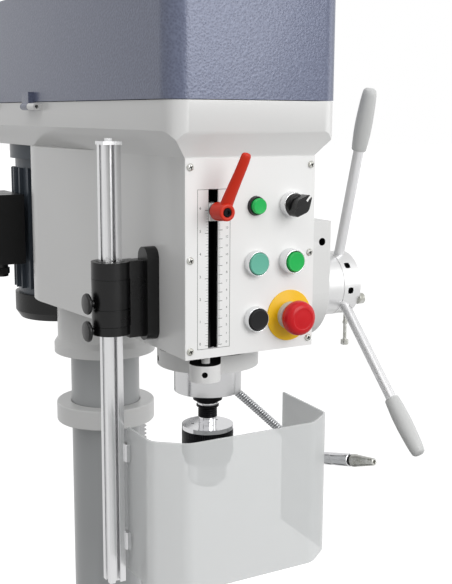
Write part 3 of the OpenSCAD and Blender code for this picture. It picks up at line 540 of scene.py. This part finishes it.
# painted shade: two thin black bars set on the head's top stand for the shade inside the cross recess
def crossRecess():
    radius, height = screws["radius"], screws["height"]
    mesh = bmesh.new()
    for turn in (20, 110):
        slot = bmesh.ops.create_cube(mesh, size=1)["verts"]
        spin = Matrix.Rotation(math.radians(turn), 3, "Z")
        bmesh.ops.scale(mesh, verts=slot, vec=Vector((radius * 1.15, radius * 0.26, height * 0.16)) * mm)
        bmesh.ops.rotate(mesh, verts=slot, cent=(0, 0, 0), matrix=spin)
        bmesh.ops.translate(mesh, verts=slot, vec=(0, 0, height * mm * 0.97))
    return smallMesh("crossRecess", mesh)


def placeScrews(name, source, material, replaced=()):
    points = [headPoint(x, -0.05, z) for x in screws["across"] for z in screws["up"]]
    tree, start, end, ids = startTree(name, [("Screw", "NodeSocketObject", None),
                                             ("Facing", "NodeSocketVector", (0, 0, 0))])
    turn = addNode(tree, "FunctionNodeAlignRotationToVector", {"axis": "Z"},
                   {"Vector": start.outputs["Facing"]})
    shape = addNode(tree, "GeometryNodeObjectInfo", links={"Object": start.outputs["Screw"]})
    copies = addNode(tree, "GeometryNodeInstanceOnPoints",
                     links={"Points": start.outputs["Geometry"], "Instance": shape.outputs["Geometry"],
                            "Rotation": turn.outputs["Rotation"]})
    finishTree(tree, end, copies.outputs[0], material)
    values = {"Screw": source, "Facing": front}
    mesh = runTree(name, tree, ids, values, pointMesh(name + "Points", points))
    bpy.data.objects.remove(source)
    addPiece(name, mesh, "frame", material, replaced, 35)


placeScrews("panelScrews", screwHead(), "zinc", ["panel_screws"])
# painted shade: the black crosses on the screw heads
placeScrews("screwRecesses", crossRecess(), "blackSteel")
print("screws placed")


# Depth scale print, in mm from the panel's lower middle
scalePlate = {
    "left": -70.0,
    "right": -28.4,
    "bottom": 10.6,
    "top": 189.8,
    "lineWidth": 0.45,
    "inchZero": 14.5,
    "inches": 7,
    "centimetreZero": 14.3,
    "centimetres": 17,
    "raise": 0.06,
    "figureRaise": 0.07,
}


def tickBar(width, height):
    mesh = bmesh.new()
    corners = [(0, 0, -height / 2), (width, 0, -height / 2), (width, 0, height / 2), (0, 0, height / 2)]
    mesh.faces.new([mesh.verts.new(Vector(c) * mm) for c in corners])
    return smallMesh("tick", mesh)


def tickRow(name, left, zero, spacing, count, length, thick):
    # a row of equal ticks going up, made by instancing one bar
    source = tickBar(length, thick)
    tree, begin, end, ids = startTree(name, [("Tick", "NodeSocketObject", None),
                                             ("Count", "NodeSocketInt", 10),
                                             ("Start", "NodeSocketVector", (0, 0, 0)),
                                             ("Step", "NodeSocketVector", (0, 0, 0.001))])
    line = addNode(tree, "GeometryNodeMeshLine", links={"Count": begin.outputs["Count"],
                                                       "Start Location": begin.outputs["Start"],
                                                       "Offset": begin.outputs["Step"]})
    shape = addNode(tree, "GeometryNodeObjectInfo", links={"Object": begin.outputs["Tick"]})
    copies = addNode(tree, "GeometryNodeInstanceOnPoints", links={"Points": line.outputs[0],
                                                                 "Instance": shape.outputs["Geometry"]})
    finishTree(tree, end, copies.outputs[0], "ink")
    first = headPoint(left, -scalePlate["raise"], zero)
    values = {"Tick": source, "Count": count, "Start": tuple(first), "Step": (0, 0, spacing * mm)}
    mesh = runTree(name, tree, ids, values, pointMesh(name + "Start", [(0, 0, 0)]))
    bpy.data.objects.remove(source)
    addPiece(name, mesh, "frame", "ink", (), 0)


def printedText(words, x, z, size):
    curve = bpy.data.curves.new("figure", "FONT")
    curve.body = words
    curve.size = size * mm
    curve.align_x = "CENTER"
    curve.align_y = "CENTER"
    holder = bpy.data.objects.new("figure", curve)
    bpy.context.scene.collection.objects.link(holder)
    bpy.context.view_layer.update()
    data = bpy.data.meshes.new_from_object(holder.evaluated_get(bpy.context.evaluated_depsgraph_get()))
    bpy.data.objects.remove(holder)
    place = Matrix.Translation(headPoint(x, -scalePlate["figureRaise"], z))
    data.transform(place @ Matrix.Rotation(math.pi / 2, 4, "X"))
    return data


def depthScale():
    # a frame of four printed bars and the figures beside the ticks, a hair proud of the panel
    s = scalePlate
    w, left, right, bottom, top = s["lineWidth"], s["left"], s["right"], s["bottom"], s["top"]
    mesh = bmesh.new()
    for x0, x1, z0, z1 in [(left, left + w, bottom, top), (right - w, right, bottom, top),
                           (left, right, bottom, bottom + w), (left, right, top - w, top)]:
        corners = [(x0, z0), (x1, z0), (x1, z1), (x0, z1)]
        mesh.faces.new([mesh.verts.new(headPoint(x, -s["raise"], z)) for x, z in corners])
    for i in range(s["inches"]):
        mesh.from_mesh(printedText(str(i), left + 3.6, s["inchZero"] + 25.4 * i + 2.4, 4.2))
    for i in range(s["centimetres"]):
        mesh.from_mesh(printedText(str(i), right - 4.2, s["centimetreZero"] + 10 * i + 2.2, 3.6))
    addPiece("scaleFigures", mesh, "frame", "ink", (), 0)


# Rows of ticks: left end, zero, spacing, count, length and thickness in mm
inch, centimetre = scalePlate["inchZero"], scalePlate["centimetreZero"]
ticks = {
    "inchTicks": (-60.6, inch, 25.4, scalePlate["inches"], 4.2, 0.5),
    "halfInchTicks": (-59.6, inch + 12.7, 25.4, 6, 3.2, 0.35),
    "eighthTicks": (-58.6, inch, 3.175, 49, 2.2, 0.25),
    "centimetreTicks": (-43.4, centimetre, 10, scalePlate["centimetres"], 5.2, 0.5),
    "millimetreTicks": (-43.4, centimetre, 1, 161, 2.2, 0.2),
}
depthScale()
for name, row in ticks.items():
    tickRow(name, *row)
print("depth scale printed")


# Buttons and switches, in mm: columns and rows on the panel, and radii
buttons = {
    "columns": (5.0, 51.3),
    "rows": (169.4, 104.0, 39.5),
    "bezel": 14.75,
    "cap": 12.5,
    "startCap": 11.4,
    "lampBezel": 11.0,
    "lampCap": 9.0,
}
leftColumn, rightColumn = buttons["columns"]
topRow, middleRow, lowRow = buttons["rows"]


def bezelRing(mesh, x, z, radius, out, hole):
    profile = [(hole, 1.6), (radius - 0.2, 0), (radius, 0.6), (radius - 0.4, out * 0.5),
               (radius - 0.6, out - 0.5), (radius - 1.0, out), (hole + 0.4, out), (hole, out - 0.6),
               (hole, 1.6)]
    lathe(mesh, roundedProfile(profile, 0.25), headPoint(x, 0, z), front, 64)


def pushButtons():
    b = buttons
    bezels = bmesh.new()
    for x, z, out, hole in [(leftColumn, middleRow, 8.5, 12.9), (rightColumn, middleRow, 13, 12.2),
                            (leftColumn, lowRow, 8.5, 12.9), (rightColumn, topRow, 10, 11.4)]:
        bezelRing(bezels, x, z, b["bezel"], out, hole)
    closedPiece("switchBezels", bezels, "frame", "bezelChrome", ["button_bezels"])
    lampBezel = bmesh.new()
    bezelRing(lampBezel, leftColumn, topRow, b["lampBezel"], 5, 9.4)
    closedPiece("lampBezel", lampBezel, "frame", "blackPlastic")
    # piece, middle on the panel, height, radius, stem radius, finish, slot and node
    caps = [
        ("lampCap", leftColumn, topRow, 10, b["lampCap"], 5.3, "greenLens", "green_lens", "light_button"),
        ("tealCap", leftColumn, middleRow, 10.5, b["cap"], 8, "tealButton", "teal_plastic", "reverse_button"),
        ("greenCap", rightColumn, middleRow, 16, b["startCap"], 8, "greenButton", "green_plastic",
         "start_button"),
        ("blackCap", leftColumn, lowRow, 10.5, b["cap"], 8, "blackButton", "black_plastic", "stop_button"),
    ]
    for name, x, z, out, radius, stem, material, slot, node in caps:
        profile = [(0, -6), (stem, -6), (stem, 4.8), (radius, 4.8), (radius, out - 1.1),
                   (radius - 1.0, out - 0.1), (radius * 0.88, out - 0.05), (radius * 0.84, out - 0.3),
                   (0, out - 0.15)]
        turnedPiece(name, profile, headPoint(x, 0, z), front, node, material, [node], 0.4)


# Emergency stop: outlines as radius and height from the panel, in mm
stopOutlines = {
    "cap": [(0, -6), (8, -6), (8, 12), (15, 12), (18.4, 14.4), (20.1, 18), (20.2, 23), (19.3, 27),
            (16.6, 29.8), (13.8, 30.8), (12.4, 31), (11.6, 30.6), (6, 31.2), (0, 31.5)],
    "plate": [(8.5, 0), (30, 0), (30, 1.5), (16.4, 1.5), (16.4, 1.7), (8.5, 1.7), (8.5, 0)],
    "collar": [(8.5, 1.5), (16.4, 1.5), (16, 4.6), (15, 7.9), (8.5, 7.9), (8.5, 1.5)],
}


def mushroom():
    place = headPoint(rightColumn, 0, lowRow)
    turnedPiece("mushroomCap", stopOutlines["cap"], place, front, "estop_button", "redButton",
                ["estop_button"], 0.7, 72)
    turnedPiece("stopPlate", stopOutlines["plate"], place, front, "frame", "yellowPlate",
                ["estop_base"], 0.3, 72)
    turnedPiece("stopCollar", stopOutlines["collar"], place, front, "frame", "greyPlastic",
                (), 0.5)


# White inlay on the selector's grip: size and middle in mm, and the way it points in degrees
pointer = {"size": (8.4, 2.4, 0.8), "middle": (10.6, 0, 26.5), "turn": 48}


def selectorPointer():
    mesh = bmesh.new()
    block = bmesh.ops.create_cube(mesh, size=1)["verts"]
    bmesh.ops.scale(mesh, verts=block, vec=Vector(pointer["size"]) * mm)
    bmesh.ops.translate(mesh, verts=block, vec=Vector(pointer["middle"]) * mm)
    turn = Matrix.Translation(headPoint(rightColumn, 0, topRow)) @ Matrix.Rotation(math.pi / 2, 4, "X")
    mesh.transform(turn @ Matrix.Rotation(math.radians(pointer["turn"]), 4, "Z"))
    edgeWork(addPiece("selectorPointer", mesh, "selector", "whitePlastic", (), 30), 0.3, 2)


pushButtons()
mushroom()
casting("selector_knob", "selectorKnob", "selector", "blackPlastic", "black_plastic", 0.8)
selectorPointer()
print("switches made")


# Red clamp lever, in mm: where its screw stands, the arm's centre line, its half widths and half thicknesses
leverPath = {
    "stopX": -50.0,
    "stopZ": 166.5,
    "points": [(1.5, -22, 1.5), (3, -24.8, 10), (7, -31.2, 27), (12, -38, 45), (15.4, -42.2, 58.5),
               (16.5, -43.5, 63.5)],
    "wide": [7.8, 7.8, 7.0, 6.4, 6.3, 5.6],
    "thick": [6.0, 5.8, 4.8, 4.5, 4.7, 4.0],
    "sides": 12,
    "crown": 0.9,
}


def loftedLever():
    s = leverPath
    sides = s["sides"]
    base = headPoint(s["stopX"], 0, s["stopZ"])
    points = [Vector(p) for p in s["points"]]
    mesh = bmesh.new()
    rings = []
    angles = [2 * math.pi * k / sides for k in range(sides)]
    for i, (point, wide, thick) in enumerate(zip(points, s["wide"], s["thick"])):
        along = (points[min(i + 1, len(points) - 1)] - points[max(i - 1, 0)]).normalized()
        side = along.cross(Vector(front)).normalized()
        up = side.cross(along).normalized()
        spots = [point + side * wide * math.cos(a) + up * thick * math.sin(a) for a in angles]
        rings.append([mesh.verts.new(base + spot * mm) for spot in spots])
    for low, high in zip(rings, rings[1:]):
        for k in range(sides):
            mesh.faces.new([low[k], low[(k + 1) % sides], high[(k + 1) % sides], high[k]])
    for ring, tip in ((rings[0], -1), (rings[-1], 1)):
        centre = sum((v.co for v in ring), Vector()) / sides
        pole = mesh.verts.new(centre + (points[-1] - points[-2]).normalized() * tip * s["crown"] * mm)
        for k in range(sides):
            mesh.faces.new([ring[k], ring[(k + 1) % sides], pole])
    bmesh.ops.recalc_face_normals(mesh, faces=mesh.faces)
    arm = addPiece("leverArm", mesh, "clamp_lever", "redPlastic", ["clamp_lever"], 0)
    smoothing = arm.modifiers.new("smooth", "SUBSURF")
    smoothing.levels = smoothing.render_levels = 2
    hub = [(0, 9.5), (10.2, 9.5), (10.3, 12), (9.4, 31.2), (8.4, 32), (5.2, 32), (5.0, 29.5), (0, 29.5)]
    turnedPiece("leverHub", hub, base, front, "clamp_lever", "redPlastic", (), 0.9)
    seat = [(0, -7), (4, -7), (4, 3.8), (8, 4), (8, 9.4), (0, 9.4)]
    turnedPiece("leverSeat", seat, base, front, "clamp_lever", "blackSteel", (), 0.4)
    screw = [(0, 29.6), (4.8, 29.6), (4.8, 31.6), (4.3, 32), (2.6, 32), (2.6, 30), (0, 30)]
    turnedPiece("leverScrew", screw, base, front, "clamp_lever", "blackSteel", (), 0, 24, 30)


loftedLever()
casting("depth_stop", "stopBlock", "depth_stop", "whitePlastic", "white_plastic", 0.8)
print("depth stop made")


# Chuck, then spindle and jaws: as for the castings
chuckParts = {
    "chuck_body": ("chuckBody", "spindle", "plate", "chuck_chrome", 1.0),
    "chuck_sleeve": ("sleeveBody", "chuck_sleeve", "blackSteel", "black_oxide", 0.7),
}
jawParts = {
    "spindle": ("spindleShaft", "spindle", "groundSteel", "ground_steel", 0.8),
    "jaw_1": ("jaw1", "jaw_1", "turnedSteel", "bare_steel", 0.3),
    "jaw_2": ("jaw2", "jaw_2", "turnedSteel", "bare_steel", 0.3),
    "jaw_3": ("jaw3", "jaw_3", "turnedSteel", "bare_steel", 0.3),
}

# Sleeve knurling, in mm: ribs round it, their root radius and section, and where each row starts and ends
knurl = {
    "count": 72,
    "root": 32.0,
    "section": [(-0.9, 0), (-0.25, 0.55), (0.25, 0.55), (0.9, 0)],
    "rows": {"upperKnurl": (-126.5, -119.6), "lowerKnurl": (-150.6, -138.7)},
}


def arbor():
    # the grooved release nut over the arbor, a bright ring in its neck and the arbor's end
    foot = (0, spindleY, headZ)
    nut = [(0, -79), (16.9, -79), (16.9, -80.5), (14, -84), (12.9, -84.2), (12.9, -87.2), (14.2, -87.4),
           (14.2, -89.8), (12, -90.6)]
    for groove in range(4):
        z = -92 - 2.6 * groove
        nut += [(12, z), (11.3, z - 0.7), (12, z - 1.4)]
    nut += [(12, -103), (0, -103)]
    turnedPiece("arborNut", nut, foot, upward, "spindle", "blackSteel", ["chuck_arbor"], 0.25)
    ring = [(0, -84.4), (13.2, -84.4), (13.2, -87), (0, -87)]
    turnedPiece("arborRing", ring, foot, upward, "spindle", "plate", (), 0.2)
    nose = [(0, -102.6), (10.6, -102.6), (11.4, -103.6), (10.9, -108), (11.2, -112), (10.2, -120), (0, -120)]
    turnedPiece("arborNose", nose, foot, upward, "spindle", "plate", (), 0.4)


def knurlRib():
    # one rib a metre long, which the tree shortens to its row
    rib = bmesh.new()
    low, high = [[rib.verts.new(Vector((knurl["root"] + y, x, z)) * mm) for x, y in knurl["section"]]
                 for z in (0, 1000)]
    for i in range(3):
        rib.faces.new([low[i], low[i + 1], high[i + 1], high[i]])
    rib.faces.new(low)
    rib.faces.new(high[::-1])
    bmesh.ops.recalc_face_normals(rib, faces=rib.faces)
    return smallMesh("rib", rib)


def knurlBands():
    # two rows of raised ribs round the sleeve, with a plain bright band between them
    source = knurlRib()
    tree, start, end, ids = startTree("knurlRibs", [("Rib", "NodeSocketObject", None),
                                                    ("Count", "NodeSocketInt", 72),
                                                    ("Centre", "NodeSocketVector", (0, 0, 0)),
                                                    ("Height", "NodeSocketFloat", 0.01)])
    line = addNode(tree, "GeometryNodeMeshLine", {"Offset": (0, 0, 0)},
                   {"Count": start.outputs["Count"], "Start Location": start.outputs["Centre"]})
    index = addNode(tree, "GeometryNodeInputIndex")
    turns = addNode(tree, "ShaderNodeMath", {"operation": "DIVIDE"},
                    {0: index.outputs[0], 1: start.outputs["Count"]})
    angle = addNode(tree, "ShaderNodeMath", {"operation": "MULTIPLY", 1: 2 * math.pi}, {0: turns.outputs[0]})
    spin = addNode(tree, "ShaderNodeCombineXYZ", links={"Z": angle.outputs[0]})
    size = addNode(tree, "ShaderNodeCombineXYZ", {"X": 1.0, "Y": 1.0}, {"Z": start.outputs["Height"]})
    shape = addNode(tree, "GeometryNodeObjectInfo", links={"Object": start.outputs["Rib"]})
    copies = addNode(tree, "GeometryNodeInstanceOnPoints",
                     links={"Points": line.outputs[0], "Instance": shape.outputs["Geometry"],
                            "Rotation": spin.outputs[0], "Scale": size.outputs[0]})
    finishTree(tree, end, copies.outputs[0], "knurl")
    for name, (low, high) in knurl["rows"].items():
        values = {"Rib": source, "Count": knurl["count"], "Centre": (0, spindleY, headZ + low * mm),
                  "Height": (high - low) * mm}
        mesh = runTree(name, tree, ids, values, pointMesh(name + "Start", [(0, 0, 0)]))
        addPiece(name, mesh, "chuck_sleeve", "knurl", (), 20)
    bpy.data.objects.remove(source)
    band = [(31, -138.4), (32.46, -138.2), (32.46, -127.0), (31, -126.8), (31, -138.4)]
    turnedPiece("sleeveBand", band, (0, spindleY, headZ), upward, "chuck_sleeve", "turnedSteel",
                (), 0.2, 72)


castings(chuckParts)
arbor()
castings(jawParts)
knurlBands()
print("chuck made")


def hubRecess(spot, normal):
    # painted shade: the insides of the two key slots, painted near black
    return 36 < math.hypot(spot.y - 168, spot.z - 39.5) < 43.6 and 229 < spot.x < 241


# Feed handles: as for the castings
feedParts = {
    "feed_drum": ("feedDrum", "feed", "satinAluminium", "satin_aluminium", 1.2),
    "feed_hub": ("feedHub", "feed", "satinAluminium", "satin_aluminium", 1.6, 3, hubRecess),
    "handle_rods": ("handleRods", "feed", "rodAluminium", "satin_aluminium", 0.6),
    "feed_lock_pin": ("lockPin", "feed", "zinc", "zinc_steel", 0.6),
}

# Grips: the rods' angles in degrees, the plane they lie in, where a grip ends and its outline, in mm
grips = {
    "angles": (15, 135, 255),
    "planeX": 237.0,
    "end": 275.0,
    "length": 83.0,
    "outline": [(7.1, 0), (9.3, 0), (9.8, 1.2), (10.5, 11), (11.2, 22), (11.4, 31), (11.4, 40), (10.9, 53),
                (10.2, 66), (9.4, 75), (8.3, 80.5), (6.2, 82.4), (3, 83), (0, 83)],
}


def handleGrips():
    hub = Vector((grips["planeX"] * mm, feedY, feedZ))
    mesh = bmesh.new()
    for angle in grips["angles"]:
        a = math.radians(angle)
        along = Vector((0, -math.sin(a), math.cos(a)))
        lathe(mesh, grips["outline"], hub + along * (grips["end"] - grips["length"]) * mm, along, 48)
    closedPiece("handleGrips", mesh, "feed", "greyPlastic", ["handle_grips"])


castings(feedParts)
handleGrips()
print("feed handles made")


# Guard: as for the castings
guardParts = {
    "guard_bracket": ("guardBracket", "frame", "blackPlastic", "black_plastic", 2.2),
    "guard_drum": ("guardDrum", "guard_drum", "blackPlastic", "black_plastic", 0.8),
    "guard_post": ("guardPost", "guard_post", "postAluminium", "satin_aluminium", 0.4, 2),
    "shield_clamp": ("shieldClamp", "guard_post", "postAluminium", "satin_aluminium", 1.2),
    "guard_knob_upper": ("upperKnob", "guard_knob_upper", "blackPlastic", "black_plastic", 0.5),
    "guard_knob_lower": ("lowerKnob", "guard_knob_lower", "blackPlastic", "black_plastic", 0.5),
}

# Shield, in mm: thickness, bend radius, top edge, height, and its outer face from above
shield = {
    "sheet": 3.0,
    "bend": 9.0,
    "top": -95.0,
    "height": 180.0,
    "path": [(-119, 86), (-119, 23), (-84, -7), (88, -7), (124, 20), (130, 126)],
}


def bentPath(points, bend, steps=5):
    # a flat path with its corners bent on a radius, in mm
    out = [Vector(points[0])]
    for before, here, after in zip(points, points[1:], points[2:]):
        a, b, c = Vector(before), Vector(here), Vector(after)
        p, q = b + (a - b).normalized() * bend, b + (c - b).normalized() * bend
        for i in range(steps + 1):
            t = i / steps
            out.append(p * (1 - t) ** 2 + b * 2 * t * (1 - t) + q * t * t)
    return out + [Vector(points[-1])]


def shieldSheet():
    path = bentPath(shield["path"], shield["bend"])
    heights = (shield["top"] - shield["height"], shield["top"])
    mesh = bmesh.new()
    sections = []
    for i, point in enumerate(path):
        along = (path[min(i + 1, len(path) - 1)] - path[max(i - 1, 0)]).normalized()
        inward = Vector((-along.y, along.x)) * shield["sheet"]
        spots = [headPoint(q.x, q.y, z) for q in (point, point + inward) for z in heights]
        sections.append([mesh.verts.new(spot) for spot in spots])
    for a, b in zip(sections, sections[1:]):
        for i, j in ((0, 1), (1, 3), (3, 2), (2, 0)):
            mesh.faces.new([a[i], a[j], b[j], b[i]])
    for end in (sections[0], sections[-1]):
        mesh.faces.new([end[0], end[1], end[3], end[2]])
    bmesh.ops.recalc_face_normals(mesh, faces=mesh.faces)
    sheet = addPiece("guardShield", mesh, "guard_post", "shield", ["guard_shield"], 40)
    edgeWork(sheet, 0.6, 2, 50)


castings(guardParts)
shieldSheet()
print("guard made")


# Coolant hose, in mm; the pitch is about twice the real one, so that the winding reads
hose = {
    "radius": 6.2,
    "wire": 1.6,
    "pitch": 3.4,
    "nozzle": ((166, 79, -180), (182, -5, -162)),
    "route": [(20, 331, -8), (21, 330, -20), (46, 290, -44), (78, 242, -82), (108, 198, -117),
              (134, 160, -149), (150, 126, -171), (163.8, 90.8, -182.5), (166.6, 76.0, -179.4)],
}


def woundHose():
    # a stiff interlocked metal hose: a core with one turn of wire per pitch along it
    curve = bpy.data.curves.new("hoseRoute", "CURVE")
    curve.dimensions = "3D"
    spline = curve.splines.new("BEZIER")
    spline.bezier_points.add(len(hose["route"]) - 1)
    for handle, point in zip(spline.bezier_points, hose["route"]):
        handle.co = headPoint(*point)
        handle.handle_left_type = handle.handle_right_type = "AUTO"
    curve.resolution_u = 12
    source = bpy.data.objects.new("hoseRoute", curve)
    tree, start, end, ids = startTree("hoseWinding", [("Radius", "NodeSocketFloat", 0.006),
                                                      ("Wire", "NodeSocketFloat", 0.001),
                                                      ("Pitch", "NodeSocketFloat", 0.002)])
    points = addNode(tree, "GeometryNodeCurveToPoints", {"mode": "LENGTH"},
                     {"Curve": start.outputs["Geometry"], "Length": start.outputs["Pitch"]})
    middle = addNode(tree, "ShaderNodeMath", {"operation": "SUBTRACT"},
                     {0: start.outputs["Radius"], 1: start.outputs["Wire"]})
    ring = addNode(tree, "GeometryNodeCurvePrimitiveCircle", {"Resolution": 20},
                   {"Radius": middle.outputs[0]})
    wire = addNode(tree, "GeometryNodeCurvePrimitiveCircle", {"Resolution": 8},
                   {"Radius": start.outputs["Wire"]})
    coil = addNode(tree, "GeometryNodeCurveToMesh",
                   links={"Curve": ring.outputs[0], "Profile Curve": wire.outputs[0]})
    copies = addNode(tree, "GeometryNodeInstanceOnPoints",
                     links={"Points": points.outputs["Points"], "Instance": coil.outputs[0],
                            "Rotation": points.outputs["Rotation"]})
    core = addNode(tree, "GeometryNodeCurvePrimitiveCircle", {"Resolution": 16},
                   {"Radius": middle.outputs[0]})
    pipe = addNode(tree, "GeometryNodeCurveToMesh", {"Fill Caps": True},
                   {"Curve": start.outputs["Geometry"], "Profile Curve": core.outputs[0]})
    both = addNode(tree, "GeometryNodeJoinGeometry")
    tree.links.new(copies.outputs[0], both.inputs[0])
    tree.links.new(pipe.outputs[0], both.inputs[0])
    finishTree(tree, end, both.outputs[0], "hoseSteel")
    values = {"Radius": hose["radius"] * mm, "Wire": hose["wire"] * mm, "Pitch": hose["pitch"] * mm}
    mesh = runTree("gooseneck", tree, ids, values, source)
    addPiece("gooseneck", mesh, "frame", "hoseSteel", ["coolant_gooseneck"], 60)
    nut = [(0, -15), (8.7, -15), (8.7, -7), (0, -7)]
    turnedPiece("hoseNut", nut, headPoint(20, 331, 0), upward, "frame", "zinc", (), 0.8, 6, 30)


def nozzle():
    start, stop = [Vector(end) for end in hose["nozzle"]]
    axis = (stop - start).normalized()
    length = (stop - start).length
    origin = headPoint(*start)
    tube = [(0, 0.2), (7.4, 0.2), (8.5, 1.2), (8.5, 14), (8.0, 14.6), (8.0, 15.8), (8.5, 16.4), (8.5, 45.4),
            (7.4, 46), (0, 46)]
    turnedPiece("nozzleTube", tube, origin, axis, "frame", "plate", ["coolant_nozzle"], 0.3)
    neck = [(0, 46), (6.4, 46), (7.6, 46.8), (7.6, 50.2), (6.4, 51), (0, 51)]
    turnedPiece("nozzleRing", neck, origin, axis, "frame", "blackPlastic", (), 0.3)
    tip = [(0, 51), (8.4, 51), (8.5, 55.6), (7.9, 57.4), (4.6, length - 1), (4.0, length), (2.4, length),
           (2.4, length - 8), (0, length - 8)]
    turnedPiece("nozzleTip", tip, origin, axis, "frame", "zinc", (), 0.3)


woundHose()
nozzle()
print("coolant hose made")


# Nodes shown as they come, with their finishes
carried = {
    "rack": "turnedSteel",
    "lift_shaft": "turnedSteel",
    "motor_pulley": "satinAluminium",
    "spindle_pulley": "satinAluminium",
    "v_belt": "rubber",
    "depth_rod": "rodPaintedShade",
    "quill_bearings": "blackSteel",
    "feed_shaft": "turnedSteel",
    "control_panel": "panel",
}
for name, material in carried.items():
    nodes[name].data.materials.clear()
    nodes[name].data.materials.append(finish[material])
print("carried nodes painted")


# Studio: floor colour, its glow far off and near, its size in metres, the surroundings' strength, how much of
# the white backdrop metal reflects, and the soft boxes as place, size in metres and power in watts
studio = {
    "floor": "#909090",
    "glow": 0.9,
    "shade": 0.06,
    "size": 80.0,
    "world": 0.6,
    "sheen": 0.65,
    "target": (0, -0.1, 1.3),
    "boxes": {
        "keyBox": ((0.7, -2.5, 2.3), (1.6, 1.6), 35.0),
        "sideBox": ((2.2, -0.8, 1.7), (1.0, 2.0), 8.0),
        "topBox": ((-0.4, -0.4, 3.2), (1.6, 2.0), 12.0),
    },
}


def seenWhite(tree, low, high):
    # low for the light that falls on things, high for what the camera sees, between them for reflections
    ray = addNode(tree, "ShaderNodeLightPath")
    shine = addNode(tree, "ShaderNodeMath", {"operation": "MULTIPLY", 1: studio["sheen"]},
                    {0: ray.outputs["Is Glossy Ray"]})
    seen = addNode(tree, "ShaderNodeMath", {"operation": "MAXIMUM"},
                   {0: ray.outputs["Is Camera Ray"], 1: shine.outputs[0]})
    level = addNode(tree, "ShaderNodeMapRange", {"To Min": low, "To Max": high}, {"Value": seen.outputs[0]})
    return level.outputs["Result"]


def studioFloor():
    # matt paper that looks nearly white out to the horizon without lighting the machine from below
    material, tree, shader = newMaterial("studioPaper", studio["floor"], 0.9)
    shader.inputs["Emission Color"].default_value = (1, 1, 1, 1)
    tree.links.new(seenWhite(tree, studio["shade"], studio["glow"]), shader.inputs["Emission Strength"])
    drive(tree, shader, height=surfaceGrain(tree, (4, 2.0))[0], depth=0.02)
    half = studio["size"] / 2
    data = bpy.data.meshes.new("floor")
    corners = [(-half, -half, 0), (half, -half, 0), (half, half, 0), (-half, half, 0)]
    data.from_pydata(corners, [], [(0, 1, 2, 3)])
    data.materials.append(material)
    floor = bpy.data.objects.new("floor", data)
    bpy.context.scene.collection.objects.link(floor)


def softLight(name, place, size, power):
    data = bpy.data.lights.new(name, "AREA")
    data.shape = "RECTANGLE"
    data.size = size[0]
    data.size_y = size[1]
    data.energy = power
    lamp = bpy.data.objects.new(name, data)
    bpy.context.scene.collection.objects.link(lamp)
    lamp.location = place
    lamp.rotation_euler = (Vector(studio["target"]) - Vector(place)).to_track_quat("-Z", "Y").to_euler()


def studioLight():
    # white behind the machine, a dimmer white all round it, and soft boxes in front and to the right
    world = bpy.data.worlds.new("studio")
    bpy.context.scene.world = world
    world.use_nodes = True
    tree = world.node_tree
    back = tree.nodes["Background"]
    back.inputs["Color"].default_value = (1, 1, 1, 1)
    tree.links.new(seenWhite(tree, studio["world"], 1.0), back.inputs["Strength"])
    for name, box in studio["boxes"].items():
        softLight(name, *box)
    bpy.context.scene.view_settings.view_transform = "Standard"


studioFloor()
studioLight()
print("studio set")
